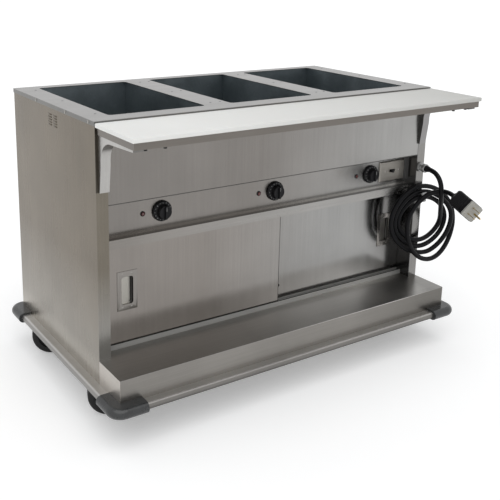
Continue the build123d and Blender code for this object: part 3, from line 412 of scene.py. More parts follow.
# %% [markdown]
# ## Plastics and rubber
# Moulded pieces are dull rather than shiny: a fine pebble in the bump, a little
# variation in the roughness and slightly dusty high spots. The cutting board is
# white plastic with faint knife marks across it. One recipe serves the moulded
# pieces, because only their colour, gloss and dust differ.

# %% Plastic and rubber finishes
PEBBLE_DETAIL = 2.0
PEBBLE_DEPTH = 0.0003
DUST_SCALE = (26.0, 26.0, 26.0)
DUST_DETAIL = 5.0
DUST_SHEEN_DOWN = 0.06
DUST_SHEEN_UP = 0.08
LENS_COAT = 0.6
BOARD_ROUGHNESS = 0.42
BOARD_CLOUDS = (7.0, 7.0, 7.0)
BOARD_TONES = ((0.72, 0.718, 0.695), (0.755, 0.755, 0.735))
BOARD_SHEEN = (0.36, 0.5)
BOARD_SCATTER = 0.08
SCATTER_REACH = (0.006, 0.005, 0.004)
KNIFE_MARKS = (14.0, 620.0, 200.0)
MARK_STOPS = [(0.24, (0.93, 0.93, 0.92)), (0.40, even(1.0))]
MARK_RELIEF = 0.06
MARK_DEPTH = 0.0003


def moulded(name, colour, roughness, pebble=1400.0, relief=0.1, dust=0.25, gloss=0.5):
    """Moulded plastic or rubber with a fine pebble and uneven dust."""
    finish, tree, shader, coords = new_finish(name, roughness)
    shader.inputs["Specular IOR Level"].default_value = gloss
    grain = noise(tree, coords, (pebble,) * 3, PEBBLE_DETAIL)
    clouds = noise(tree, coords, DUST_SCALE, DUST_DETAIL)
    tone = tinted(tree, clouds, shade(colour, 1 - dust), shade(colour, 1 + dust))
    sheen = spread(tree, clouds, roughness - DUST_SHEEN_DOWN, roughness + DUST_SHEEN_UP)
    paint(tree, shader, tone, sheen)
    add_bump(tree, shader, grain, relief, PEBBLE_DEPTH)
    return finish


knob_black = moulded("knob_black", (0.009, 0.009, 0.010), 0.36, gloss=0.16)
case_black = moulded("case_black", (0.014, 0.014, 0.015), 0.5, gloss=0.3)
plug_black = moulded("plug_black", (0.006, 0.006, 0.007), 0.42, gloss=0.18)
plug_grey = moulded("plug_grey", (0.33, 0.325, 0.30), 0.5, dust=0.1)
cord_black = moulded("cord_black", (0.005, 0.005, 0.006), 0.40,
                     pebble=900.0, relief=0.12, gloss=0.12)
wheel_black = moulded("wheel_black", (0.011, 0.011, 0.011), 0.55, gloss=0.3)
bumper_grey = moulded("bumper_grey", (0.027, 0.0285, 0.0295), 0.28,
                      relief=0.12, dust=0.15)
glide_white = moulded("glide_white", (0.62, 0.61, 0.56), 0.45, dust=0.08)
dial_grey = moulded("dial_grey", (0.40, 0.40, 0.39), 0.5, dust=0.04)
lens_red = moulded("lens_red", (0.09, 0.010, 0.008), 0.12, relief=0.02, dust=0.3)
adjust(lens_red, "Coat Weight", LENS_COAT)
# Near black for the painted shadow strip on the track and for the real black of the door's hole
# plug.
shadow_and_plug_black = moulded("shadow_and_plug_black", (0.006, 0.006, 0.006), 0.8)
blade_brass = brushed("blade_brass", (0.52, 0.39, 0.17), "z", 0.26)


def board_finish():
    """White board plastic with faint knife marks across it and painted shade towards the right."""
    finish, tree, shader, coords = new_finish("board_white", BOARD_ROUGHNESS)
    clouds = noise(tree, coords, BOARD_CLOUDS, DUST_DETAIL)
    tone = tinted(tree, clouds, *BOARD_TONES)
    cuts = noise(tree, coords, KNIFE_MARKS)
    marks = ramp(tree, cuts, MARK_STOPS)
    tone = layered(tree, tone, marks, fade(tree, coords, *BOARD_SHADE))
    paint(tree, shader, tone, spread(tree, clouds, *BOARD_SHEEN))
    shader.inputs["Subsurface Weight"].default_value = BOARD_SCATTER
    shader.inputs["Subsurface Radius"].default_value = SCATTER_REACH
    add_bump(tree, shader, cuts, MARK_RELIEF, MARK_DEPTH)
    return finish


board_white = board_finish()
print("finishes", len(bpy.data.materials))

# %% [markdown]
# ## Dressing the frame's own pieces
# The imported pieces already have the right shape, so they only change finish.
# The record says which slot a piece takes; some sheets have a finish of their own,
# which carries their painted reflection and shade.

# %% Finishes for the frame's pieces
SLOT_FINISH = {
    "top_steel": deck_steel, "body_steel": panel_steel, "inner_steel": inner_steel,
    "well_liner": liner_zinc, "heater": heater_sheath, "board_plastic": board_white,
    "black_plastic": case_black, "lamp_lens": lens_red, "thermostat_case": case_black,
    "switch_plate": plate_steel, "pull_metal": pull_steel, "nylon": glide_white,
    "bumper_tube": tube_steel, "bumper_rubber": bumper_grey, "plated_steel": plated_steel,
    "wheel_rubber": wheel_black, "gland_metal": gland_metal, "cord_rubber": cord_black,
    "plug_black": plug_black, "plug_grey": plug_grey, "blade_brass": blade_brass,
    "screw_steel": screw_steel,
}
NODE_FINISH = {
    "left_side_panel": left_side_steel, "right_side_panel": right_side_steel,
    "base_ledge": ledge_steel, "board_shelf": shelf_steel, "lower_track": track_steel,
    "door_header": header_steel, "left_door": left_door_steel, "right_door": right_door_steel,
    "shelf_brackets": bracket_steel,
}
for part in frame["record"]["subparts"]:
    node = frame["nodes"][part["node"]]
    slot_finish = SLOT_FINISH[part["material_slot"]]
    node.data.materials.clear()
    node.data.materials.append(NODE_FINISH.get(part["node"], slot_finish))
print("dressed", len(frame["nodes"]), "pieces of the frame")

# %% [markdown]
# ## Helpers for modelling
# Everything is deselected before a new piece is started. Round pieces begin as
# a ring that is extruded and resized along its axis, as on a lathe. Spin would
# make them too, but it leaves a seam to merge. A finished piece has its place
# applied to its mesh and rides on a body of the frame.

# %% Helpers for modelling
FORWARD = (0, -1, 0)
RIGHTWARD = (1, 0, 0)
UPWARD = (0, 0, 1)
MERGE_DISTANCE = 0.00001
FACING = 0.9


def clear_selection():
    """Leaves edit mode and deselects everything."""
    if bpy.context.object and bpy.context.object.mode != "OBJECT":
        bpy.ops.object.mode_set(mode="OBJECT")
    bpy.ops.object.select_all(action="DESELECT")


def take(piece):
    """Makes one piece the only selected and active one."""
    clear_selection()
    piece.select_set(True)
    bpy.context.view_layer.objects.active = piece


def started(name):
    """The primitive that was just added, under its own name."""
    piece = bpy.context.active_object
    piece.name = name
    piece.data.name = name
    return piece


def edit(piece, mode="FACE"):
    """Opens a piece in edit mode with nothing selected."""
    take(piece)
    bpy.ops.object.mode_set(mode="EDIT")
    bpy.ops.mesh.select_mode(type=mode)
    bpy.ops.mesh.select_all(action="DESELECT")


def pick_faces(piece, test):
    """Selects the faces whose centre and normal pass a test, in edit mode."""
    edit(piece)
    bpy.ops.object.mode_set(mode="OBJECT")
    for face in piece.data.polygons:
        face.select = test(face.center, face.normal)
    bpy.ops.object.mode_set(mode="EDIT")


def pick_points(piece, test):
    """Selects the points whose place passes a test, in edit mode."""
    edit(piece, "VERT")
    bpy.ops.object.mode_set(mode="OBJECT")
    for point in piece.data.vertices:
        point.select = test(point.co)
    bpy.ops.object.mode_set(mode="EDIT")


def faces_up(centre, normal):
    """A test for the faces that look along +Z."""
    return normal.z > FACING


def set_in_place(piece, origin, axis=FORWARD, side=RIGHTWARD):
    """Turns +Z to axis and +X to side, moves the piece to origin and applies it."""
    axis = Vector(axis).normalized()
    side = Vector(side)
    side = (side - axis * side.dot(axis)).normalized()
    turn = Matrix((side, axis.cross(side), axis)).transposed().to_4x4()
    piece.matrix_world = Matrix.Translation(Vector(origin)) @ turn
    take(piece)
    bpy.ops.object.transform_apply(location=True, rotation=True, scale=True)
    return piece


def apply_modifier(piece, kind, **settings):
    """Adds a modifier with its settings and applies it."""
    take(piece)
    modifier = piece.modifiers.new(kind, kind)
    for key, value in settings.items():
        setattr(modifier, key, value)
    bpy.ops.object.modifier_apply(modifier=modifier.name)


def soften(piece, width, segments=2, angle=32.0):
    """Rounds the sharp edges and smooths what is left."""
    apply_modifier(piece, "BEVEL", width=width, segments=segments, limit_method="ANGLE",
                   angle_limit=math.radians(angle))
    take(piece)
    bpy.ops.object.shade_smooth_by_angle(angle=math.radians(angle))


def extrude_up(height):
    """Extrudes what is selected along +Z."""
    bpy.ops.mesh.extrude_region_move(TRANSFORM_OT_translate={"value": (0, 0, height)})


def raise_stages(stages):
    """Extrudes the selected face along +Z; stages are (height, size)."""
    for (low, inner), (high, outer) in zip(stages, stages[1:]):
        extrude_up(high - low)
        share = outer / inner
        bpy.ops.transform.resize(value=(share, share, 1), center_override=(0, 0, high))


def outward(piece):
    """Merges doubles and turns all normals out."""
    edit(piece)
    bpy.ops.mesh.select_all(action="SELECT")
    bpy.ops.mesh.remove_doubles(threshold=MERGE_DISTANCE)
    bpy.ops.mesh.normals_make_consistent(inside=False)
    bpy.ops.object.mode_set(mode="OBJECT")


def turned(name, rings, sides=40):
    """A round piece: rings are (height, radius) along +Z."""
    clear_selection()
    height, radius = rings[0]
    bpy.ops.mesh.primitive_circle_add(vertices=sides, radius=radius, fill_type="NGON",
                                      location=(0, 0, 0))
    piece = started(name)
    bpy.ops.object.mode_set(mode="EDIT")
    bpy.ops.mesh.select_all(action="SELECT")
    bpy.ops.transform.translate(value=(0, 0, height))
    raise_stages(rings)
    outward(piece)
    return piece


def bar(name, size, middle=(0, 0, 0)):
    """A box of a given size, as a start for a rounded bar."""
    clear_selection()
    bpy.ops.mesh.primitive_cube_add(size=1, location=middle)
    piece = started(name)
    piece.scale = size
    take(piece)
    bpy.ops.object.transform_apply(location=True, rotation=True, scale=True)
    return piece


def copy_of(piece, name):
    """A copy with a mesh of its own."""
    take(piece)
    bpy.ops.object.duplicate(linked=False)
    return started(name)


def joined(name, pieces):
    """Several pieces as one object."""
    clear_selection()
    for piece in pieces:
        piece.select_set(True)
    bpy.context.view_layer.objects.active = pieces[0]
    if len(pieces) > 1:
        bpy.ops.object.join()
    return started(name)


def dress(piece, finish, body, slot, *nodes):
    """Gives a piece its finish and body and hides the nodes it stands for; the slot is not used.
    """
    piece.data.materials.clear()
    piece.data.materials.append(finish)
    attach(piece, body)
    if nodes:
        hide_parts(*nodes)
    return piece


# %% [markdown]
# ## The cord
# A heavy mains lead leaves a metal connector on the right post, drops into a
# loose coil of nearly four turns on the hook, and ends in a plug that stands off
# to the right. A chain of straight tubes would show its joints, so it is one smooth
# spline: its control points are the route of the two free stretches and four
# points for each quarter turn of the coil. Its places are in millimetres: the
# coil's from the hook and the posts' front, the lead's from the connector's tip
# and the tail's from the end of the coil.

# %% Cord
MM = 0.001
FRONT_Y = -212.5
GLAND = Vector((590.5, FRONT_Y, 591))
GLAND_LENGTH = 28
HOOK_X = 584.5
PASS_PITCH = 19.2
PASS_Y = -17
PASS_XS = [2, 0, -4]
LOWEST_PASS_Z = 489.4
TURN_BOTTOMS = [(-4, -20, 337), (13, -21, 313), (31, -27, 289),
                (39, -48, 269)]
TURN_LEFTS = [(-63, 18, 399), (-84, 14, 401), (-105, 10, 404),
              (-71, -36, 393)]
TURN_RIGHTS = [(108, -36, 404), (108, -66, 416), (141, -46, 394)]
POINTS_A_QUARTER = 4
LEAD_BENDS = [(0, -28, 0), (0, -53.7, -13.6), (-0.5, -70.3, -38.9), (1.1, -72.7, -76.8),
              (34.8, -45.6, -134.8), (70, -16.5, -191.7), (60.2, -0.5, -231)]
LEAD_RUN = 39.4
TAIL_RUN = 28
TAIL_BENDS = [(0.7, -8, 56.7), (23.1, -14, 92), (63.5, -17.5, 116), (86.5, -32.5, 126),
              (101.3, -56.2, 131), (104.2, -84, 129)]
TAIL_END = (96.1, -108.3, 124.6)
CORD_RADIUS = 8.0
CORD_ROUNDNESS = 6
CORD_STEPS = 10

places = []
for number, bottom in enumerate(TURN_BOTTOMS):
    places += [bottom, TURN_LEFTS[number]]
    if number < len(TURN_RIGHTS):
        pass_z = LOWEST_PASS_Z + number * PASS_PITCH
        places += [(PASS_XS[number], PASS_Y, pass_z), TURN_RIGHTS[number]]
corners = [Vector((HOOK_X + x, FRONT_Y + y, z)) for x, y, z in places]


def ease(share):
    """A share that starts and ends slowly."""
    return share * share * (3 - 2 * share)


def coil_point(quarter, widen):
    """A point of the coil after so many quarter turns.

    The spline cuts inside its points, so widen pushes them out a little.
    """
    index = min(int(quarter), len(corners) - 2)
    part = quarter - index
    step = corners[index + 1] - corners[index]
    early = widen * math.sin(part * math.pi / 2)
    late = 1 - widen * math.cos(part * math.pi / 2)
    across, along_z = (early, late) if index % 2 == 0 else (late, early)
    return corners[index] + Vector((step.x * across, step.y * ease(part), step.z * along_z))


gland_tip = GLAND - Vector((0, GLAND_LENGTH, 0))
coil_start = corners[0]
coil_end = corners[-1]
widen = 1 / math.cos(math.pi / 4 / POINTS_A_QUARTER)
steps = (len(corners) - 1) * POINTS_A_QUARTER
route = [gland_tip] + [gland_tip + Vector(bend) for bend in LEAD_BENDS]
route += [coil_start + Vector((LEAD_RUN, 0, 0))]
route += [coil_point(step / POINTS_A_QUARTER, widen) for step in range(steps + 1)]
route += [coil_end + Vector((0, 0, TAIL_RUN))]
route += [coil_end + Vector(bend) for bend in TAIL_BENDS] + [coil_end + Vector(TAIL_END)]

cord_curve = bpy.data.curves.new("power_cord", "CURVE")
cord_curve.dimensions = "3D"
cord_curve.bevel_depth = CORD_RADIUS * MM
cord_curve.bevel_resolution = CORD_ROUNDNESS
cord_curve.resolution_u = CORD_STEPS
cord_curve.use_fill_caps = True
spline = cord_curve.splines.new("NURBS")
spline.points.add(len(route) - 1)
for point, place in zip(spline.points, route):
    point.co = (*(place * MM), 1)
spline.order_u = 3
spline.use_endpoint_u = True
power_cord = bpy.data.objects.new("power_cord", cord_curve)
scene.collection.objects.link(power_cord)
dress(power_cord, cord_black, "table", "cord_rubber", "cord_lead", "cord_coil", "cord_tail")
print("cord points", len(route))

# %% [markdown]
# ## The cord connector
# A lock ring, a threaded neck and a clamp nut hold the cord on the post, with a
# tapered rubber bush that keeps the first bend from being sharp. Both are turned.
# The nut's flats come from pressing in every second group of its side faces.

# %% Cord connector
CONNECTOR_RINGS = [
    (-0.0095, 0.0125), (0.0, 0.0125), (0.0, 0.0158), (0.0008, 0.0165), (0.0052, 0.0165),
    (0.006, 0.0158), (0.006, 0.0122), (0.0085, 0.0125), (0.0095, 0.0118), (0.0105, 0.0125),
    (0.0115, 0.0118), (0.0125, 0.0125), (0.0135, 0.0118), (0.0145, 0.0125), (0.016, 0.0125),
    (0.016, 0.0143), (0.017, 0.015), (0.0255, 0.015), (0.028, 0.0136), (0.028, 0.0086),
    (0.022, 0.0084),
]
BUSH_RINGS = [
    (0.019, 0.0083), (0.019, 0.0112), (0.029, 0.0112), (0.031, 0.0104), (0.0325, 0.0109),
    (0.034, 0.0099), (0.0355, 0.0104), (0.037, 0.0094), (0.0385, 0.0098), (0.041, 0.0088),
    (0.041, 0.0082),
]
CONNECTOR_SIDES = 48
NUT_LOW = 0.018
NUT_HIGH = 0.025
NUT_MIDDLE = (0, 0, 0.0215)
NUT_RADIUS = 0.0145
NUT_PITCH = 60
NUT_PRESS = (0.955, 0.955, 0.92)
FINE_EDGE = 0.0003


def on_nut_flat(centre, normal):
    """Every second group of the nut's side faces."""
    turn = math.degrees(math.atan2(centre.y, centre.x)) % NUT_PITCH
    on_side = NUT_LOW < centre.z < NUT_HIGH and centre.xy.length > NUT_RADIUS
    return on_side and turn < NUT_PITCH / 2


connector = turned("cord_connector", CONNECTOR_RINGS, CONNECTOR_SIDES)
pick_faces(connector, on_nut_flat)
bpy.ops.mesh.extrude_region_move()
bpy.ops.transform.resize(value=NUT_PRESS, center_override=NUT_MIDDLE)
soften(connector, FINE_EDGE)
set_in_place(connector, GLAND * MM)
dress(connector, gland_metal, "table", "gland_metal", "cord_gland")

bush = turned("cord_bush", BUSH_RINGS)
soften(bush, FINE_EDGE)
set_in_place(bush, GLAND * MM)
dress(bush, cord_black, "table", "cord_rubber")
print("connector faces", len(connector.data.polygons), "bush faces", len(bush.data.polygons))

# %% [markdown]
# ## The plug
# A square heavy-duty plug: a black body with grip ribs and a round cord clamp,
# a light grey face held by corner screws, two flat brass blades and a ground
# pin. Separate ribs could be laid on a box, but here a square with rounded corners
# is extruded along the plug, which keeps body and ribs one closed mesh.
# The blades' places on the face are in millimetres, all other sizes in metres.

# %% Plug
PLUG_ROLL = Vector((-0.75, -0.6, 0.28))
PLUG_SIZE = 0.058
PLUG_CORNER = 0.0065
CORNER_STEPS = 5
PLUG_SHOULDER = [(0.014, 0.72), (0.019, 0.90), (0.024, 0.955)]
GRIP_COUNT = 9
GRIP_START = 0.028
GRIP_PITCH = 0.0058
GRIP_STEPS = [(0.0, 0.955), (0.0008, 0.99), (0.0030, 0.99), (0.0038, 0.955)]
PLUG_COLLAR = [(0.083, 0.955), (0.0845, 1.0), (0.098, 1.0)]
CLAMP_RINGS = [
    (0.0, 0.0095), (0.0, 0.0152), (0.0015, 0.017), (0.0045, 0.017), (0.0055, 0.0155),
    (0.0065, 0.017), (0.0095, 0.017), (0.0105, 0.0155), (0.0115, 0.0168), (0.0165, 0.0172),
]
CASE_EDGE = 0.0004
FACE_SIZE = 0.055
FACE_CORNER = 0.005
FACE_START = 0.098
FACE_END = 0.106
FACE_STAGES = [(FACE_START, 1.0), (FACE_END - 0.001, 1.0), (FACE_END, 0.965), (FACE_END, 0.88),
               (FACE_END - 0.0008, 0.87)]
BLADE_PLACES = [(-11.5, -6.5), (12.5, -6.5)]
GROUND_PLACE = (1.0, 13.0)
BLADE_ROOT = 0.101
BLADE_TIP = 0.140
BLADE_THICK = 0.002
BLADE_WIDTH = 0.008
BLADE_NOSE = 0.0012
BLADE_TAPER = (0.5, 0.72, 1)
PIN_RINGS = [(BLADE_ROOT, 0.003), (0.134, 0.003), (0.1375, 0.0026), (0.1398, 0.0016),
             (0.1405, 0.0006)]
PIN_SIDES = 24
TINY_EDGE = 0.0002
plug_back = (coil_end + Vector(TAIL_END)) * MM
plug_axis = (Vector(TAIL_END) - Vector(TAIL_BENDS[-1])).normalized()
plug_level = plug_axis.cross(PLUG_ROLL)


def squared(name, size, corner, stages):
    """A square bar with rounded corners: stages are (height, share of the size)."""
    clear_selection()
    bpy.ops.mesh.primitive_plane_add(size=size, location=(0, 0, 0))
    piece = started(name)
    bpy.ops.object.mode_set(mode="EDIT")
    bpy.ops.mesh.select_all(action="SELECT")
    bpy.ops.mesh.bevel(offset=corner, segments=CORNER_STEPS, affect="VERTICES")
    bpy.ops.mesh.select_all(action="SELECT")
    start, share = stages[0]
    bpy.ops.transform.translate(value=(0, 0, start))
    bpy.ops.transform.resize(value=(share, share, 1), center_override=(0, 0, start))
    raise_stages(stages)
    outward(piece)
    return piece


body_stages = list(PLUG_SHOULDER)
for rib in range(GRIP_COUNT):
    start = GRIP_START + rib * GRIP_PITCH
    body_stages += [(start + rise, share) for rise, share in GRIP_STEPS]
body_stages += PLUG_COLLAR
plug_case = squared("plug_case", PLUG_SIZE, PLUG_CORNER, body_stages)
clamp = turned("plug_clamp", CLAMP_RINGS)
plug_case = joined("plug_case", [plug_case, clamp])
soften(plug_case, CASE_EDGE)
set_in_place(plug_case, plug_back, plug_axis, plug_level)
dress(plug_case, plug_black, "table", "plug_black", "plug_body")

plug_front = squared("plug_front", FACE_SIZE, FACE_CORNER, FACE_STAGES)
soften(plug_front, FINE_EDGE)
set_in_place(plug_front, plug_back, plug_axis, plug_level)
dress(plug_front, plug_grey, "table", "plug_grey", "plug_face")

blades = []
for number, (x, y) in enumerate(BLADE_PLACES):
    blade_size = (BLADE_THICK, BLADE_WIDTH, BLADE_TIP - BLADE_ROOT)
    blade = bar(f"plug_blade_{number}", blade_size, (x * MM, y * MM, (BLADE_TIP + BLADE_ROOT) / 2))
    pick_faces(blade, faces_up)
    extrude_up(BLADE_NOSE)
    bpy.ops.transform.resize(value=BLADE_TAPER, center_override=(x * MM, y * MM, BLADE_TIP))
    soften(blade, TINY_EDGE)
    blades.append(blade)
pin = turned("plug_pin", PIN_RINGS, PIN_SIDES)
set_in_place(pin, (GROUND_PLACE[0] * MM, GROUND_PLACE[1] * MM, 0), UPWARD)
soften(pin, TINY_EDGE)
contacts = joined("plug_contacts", blades + [pin])
set_in_place(contacts, plug_back, plug_axis, plug_level)
dress(contacts, blade_brass, "table", "blade_brass", "plug_blades")
print("plug pieces", [len(p.data.polygons) for p in (plug_case, plug_front, contacts)])

# %% [markdown]
# ## Screws
# A pan-head screw is turned once, and the copies go to the skirt, the hook, the
# pulls, the switch plate and the plug. Its cross recess could be shaped by insets,
# but a boolean with two bars cuts it cleanly and leaves the head round.

# %% Screw master and its places
SCREW_SIDES = 28
SCREW_SMOOTH = math.radians(35)
SLOT_LONG = 1.1
SLOT_WIDE = 0.24
SLOT_DEEP = 1.2
SLOT_LIFT = 1.12
SHANK_TIP = 0.6
SHANK_TAPER = 0.9
HEAD_STEPS = [(0.0, 1.0), (0.3, 1.0), (0.75, 0.8), (1.0, 0.45)]
SKIRT_SCREW_YS = [-0.1765, -0.0255, 0.1915]
SKIRT_SCREW_Z = 0.857
HALF_LENGTH = 0.6095
HOOK_FACE_Y = -0.2155
HOOK_SCREW_ZS = [0.5238, 0.4998]
SWITCH = Vector((0.502, -0.1715, 0.580))
PLATE_SCREW_X = 0.0302
FACE_SCREW = 0.0215
FACE_SCREW_SINK = 0.0009
HOOK_SLOT = (1, 0, 0.5)
PLATE_SLOT = (1, 0, 0.2)


def make_screw(name, head, rise, shank, length):
    """A pan-head screw along +Z, seated at zero, with a cross recess sized from its head."""
    rings = [(-length, shank * SHANK_TIP), (-length * SHANK_TAPER, shank), (0.0, shank)]
    rings += [(rise * up, head * out) for up, out in HEAD_STEPS]
    piece = turned(name, rings, SCREW_SIDES)
    slot = (head * SLOT_LONG, head * SLOT_WIDE)
    for across in (slot, slot[::-1]):
        cutter = bar("screw_cutter", (*across, rise * SLOT_DEEP), (0, 0, rise * SLOT_LIFT))
        apply_modifier(piece, "BOOLEAN", object=cutter, operation="DIFFERENCE", solver="EXACT")
        bpy.data.objects.remove(cutter)
    take(piece)
    bpy.ops.object.shade_smooth_by_angle(angle=SCREW_SMOOTH)
    return piece


def screw_set(name, master, places, axis, side):
    """Copies of a screw at several places, as one piece."""
    screws = []
    for number, place in enumerate(places):
        screw = copy_of(master, f"{name}_{number}")
        set_in_place(screw, place, axis, side)
        screws.append(screw)
    return joined(name, screws)


pan_screw = make_screw("pan_screw", head=0.0045, rise=0.0026, shank=0.002, length=0.008)
rows = []
for name, sign, twist in (("left_row", -1, 0.4), ("right_row", 1, 0.3)):
    row_places = [(sign * HALF_LENGTH, y, SKIRT_SCREW_Z) for y in SKIRT_SCREW_YS]
    rows.append(screw_set(name, pan_screw, row_places, (sign, 0, 0), (0, 1, twist)))
hook_places = [(HOOK_X * MM, HOOK_FACE_Y, z) for z in HOOK_SCREW_ZS]
rows.append(screw_set("hook_row", pan_screw, hook_places, FORWARD, HOOK_SLOT))
frame_screws = joined("frame_screws", rows)
dress(frame_screws, screw_steel, "table", "screw_steel", "sheet_screws")

small_screw = make_screw("small_screw", head=0.0026, rise=0.0011, shank=0.0012, length=0.003)
plate_places = [(SWITCH.x + x, SWITCH.y, SWITCH.z) for x in (-PLATE_SCREW_X, PLATE_SCREW_X)]
plate_screws = screw_set("switch_plate_screws", small_screw, plate_places, FORWARD, PLATE_SLOT)
dress(plate_screws, screw_steel, "table", "screw_steel")
plug_side = plug_level.normalized()
plug_turn = Matrix((plug_side, plug_axis.cross(plug_level).normalized(), plug_axis)).transposed()
face_places = [plug_back + plug_turn @ Vector((x, y, FACE_END - FACE_SCREW_SINK))
               for x in (-FACE_SCREW, FACE_SCREW) for y in (-FACE_SCREW, FACE_SCREW)]
plug_screws = screw_set("plug_screws", small_screw, face_places, plug_axis, plug_level)
dress(plug_screws, screw_steel, "table", "screw_steel")
print("screw faces", [len(p.data.polygons) for p in (frame_screws, plate_screws, plug_screws)])

# %% [markdown]
# ## The dials
# Each well has a skirted dial. The stem, skirt and grip are one turned form,
# the grip's flutes are pressed into every second side face, and a rib across
# the front shows the setting. Ticks and plain numbers ring the skirt. They are
# thin meshes, because painted ones would blur up close.

# %% Dials
PANEL_Y = -0.1665
KNOB_Z = 0.580
KNOB_XS = {"left": -0.388, "centre": 0.008, "right": 0.404}
DIAL_RINGS = [
    (-0.0275, 0.0036), (-0.0270, 0.004), (0.0015, 0.004), (0.0015, 0.0288), (0.0021, 0.030),
    (0.0058, 0.030), (0.0084, 0.0276), (0.0088, 0.0224), (0.0096, 0.0214), (0.0100, 0.0210),
    (0.0232, 0.0200), (0.0246, 0.0190), (0.0254, 0.0172), (0.0248, 0.0152), (0.0248, 0.0030),
]
DIAL_SIDES = 48
DIAL_FACET = 360 / DIAL_SIDES
FLUTE_LOW = 0.012
FLUTE_HIGH = 0.022
FLUTE_RADIUS = 0.018
FLUTE_BORDER = 0.0003
FLUTE_DEPTH = 0.0011
RIB_SIZE = (0.008, 0.0405, 0.020)
RIB_MIDDLE = (0, 0, 0.0205)
RIB_TOP = (0, 0, 0.0305)
RIB_TAPER = (0.7, 0.93, 1)
RIB_EDGE = 0.0012
POINTER_SIZE = (0.0007, 0.012, 0.0004)
POINTER_PLACE = (0, 0.0105, 0.0306)
TICK_SIZE = (0.0007, 0.0034, 0.0003)
NUMBER_SIZE = 0.0052
NUMBER_RISE = 0.00015
NUMBER_STEPS = 2
DIAL_FACE = 0.0088
DIAL_RING = 0.0250
DIAL_STEPS = 8


def on_flute(centre, normal):
    """Every second side face of the grip."""
    turn = math.degrees(math.atan2(centre.y, centre.x)) % 360
    facet = round((turn - DIAL_FACET / 2) / DIAL_FACET)
    on_grip = FLUTE_LOW < centre.z < FLUTE_HIGH and centre.xy.length > FLUTE_RADIUS
    return on_grip and facet % 2 == 0


def make_dial(name):
    """The stem, skirt and grip as one turned form, with the rib across the grip."""
    grip = turned(name, DIAL_RINGS, DIAL_SIDES)
    pick_faces(grip, on_flute)
    bpy.ops.mesh.inset(thickness=FLUTE_BORDER, use_individual=True)
    bpy.ops.transform.shrink_fatten(value=-FLUTE_DEPTH)
    rib = bar(name + "_rib", RIB_SIZE, RIB_MIDDLE)
    pick_faces(rib, faces_up)
    bpy.ops.transform.resize(value=RIB_TAPER, center_override=RIB_TOP)
    soften(rib, RIB_EDGE, 3)
    soften(grip, FINE_EDGE)
    return joined(name, [grip, rib])


def make_number(name, value):
    """One plain number as a thin mesh."""
    clear_selection()
    bpy.ops.object.text_add(location=(0, 0, 0))
    number = started(name)
    number.data.body = str(value)
    number.data.size = NUMBER_SIZE
    number.data.align_x = "CENTER"
    number.data.align_y = "CENTER"
    number.data.extrude = NUMBER_RISE
    number.data.resolution_u = NUMBER_STEPS
    take(number)
    bpy.ops.object.convert(target="MESH")
    return number


def make_dial_marks(name):
    """A pointer line on the rib, ticks on the skirt and a number at each step."""
    marks = [bar(name, POINTER_SIZE, POINTER_PLACE)]
    for step in range(DIAL_STEPS):
        angle = 2 * math.pi * (step + 0.5) / DIAL_STEPS
        tick = bar(f"{name}_tick_{step}", TICK_SIZE, (0, DIAL_RING, DIAL_FACE))
        set_in_place(tick, (0, 0, 0), UPWARD, (math.cos(angle), -math.sin(angle), 0))
        marks.append(tick)
    for step in range(DIAL_STEPS):
        angle = 2 * math.pi * step / DIAL_STEPS
        number = make_number(f"{name}_number_{step}", step + 1)
        around = Vector((math.sin(angle), math.cos(angle), 0)) * DIAL_RING
        around.z = DIAL_FACE
        set_in_place(number, around, UPWARD, (math.cos(angle), -math.sin(angle), 0))
        marks.append(number)
    return joined(name, marks)


for side_name, knob_x in KNOB_XS.items():
    dial = make_dial(side_name + "_dial")
    marks = make_dial_marks(side_name + "_dial_marks")
    for piece in (dial, marks):
        set_in_place(piece, (knob_x, PANEL_Y, KNOB_Z))
    dress(dial, knob_black, side_name + "_knob", "black_plastic", side_name + "_knob")
    dress(marks, dial_grey, side_name + "_knob", "nylon")
    print(side_name, "dial faces", len(dial.data.polygons), "marks", len(marks.data.polygons))

# %% [markdown]
# ## The pilot lamps
# Beside each dial sits a small lamp: a dark bezel with a faceted red lens. The
# lens has few sides on purpose, so that its facets glint like a cut jewel.

# %% Pilot lamps
LAMP_OFFSET = 0.060
BEZEL_RINGS = [
    (-0.024, 0.0045), (-0.0235, 0.005), (0.0, 0.005), (0.0, 0.0072), (0.0004, 0.0075),
    (0.0016, 0.0075), (0.0025, 0.0066), (0.0025, 0.0058), (0.0014, 0.0056),
]
BEZEL_SIDES = 36
LENS_RINGS = [(0.0006, 0.0053), (0.0030, 0.0055), (0.0046, 0.0046), (0.0056, 0.0030),
              (0.0060, 0.0014)]
LENS_SIDES = 12
bezels = []
lenses = []
for number, knob_x in enumerate(KNOB_XS.values()):
    bezel = turned(f"bezel_{number}", BEZEL_RINGS, BEZEL_SIDES)
    soften(bezel, TINY_EDGE)
    lens = turned(f"lens_{number}", LENS_RINGS, LENS_SIDES)
    for piece in (bezel, lens):
        set_in_place(piece, (knob_x - LAMP_OFFSET, PANEL_Y, KNOB_Z))
    bezels.append(bezel)
    lenses.append(lens)
lamp_bezels = dress(joined("lamp_bezels", bezels), case_black, "table", "black_plastic")
lamp_lenses = dress(joined("lamp_lenses", lenses), lens_red, "table", "lamp_lens", "pilot_lamps")
print("lamps", len(lamp_bezels.data.polygons), len(lamp_lenses.data.polygons))

# %% [markdown]
# ## The door pulls
# A pull is one pressed sheet. A plane is inset for the opening, its corners are
# rounded, and the middle is pushed in and tilted, so that the recess is shallow
# on one side and deep under the fingertips on the other. Solidify gives the
# sheet its thickness towards the door. A block with a pocket cut in it would do
# from the front, but it lacks the even wall of pressed metal.

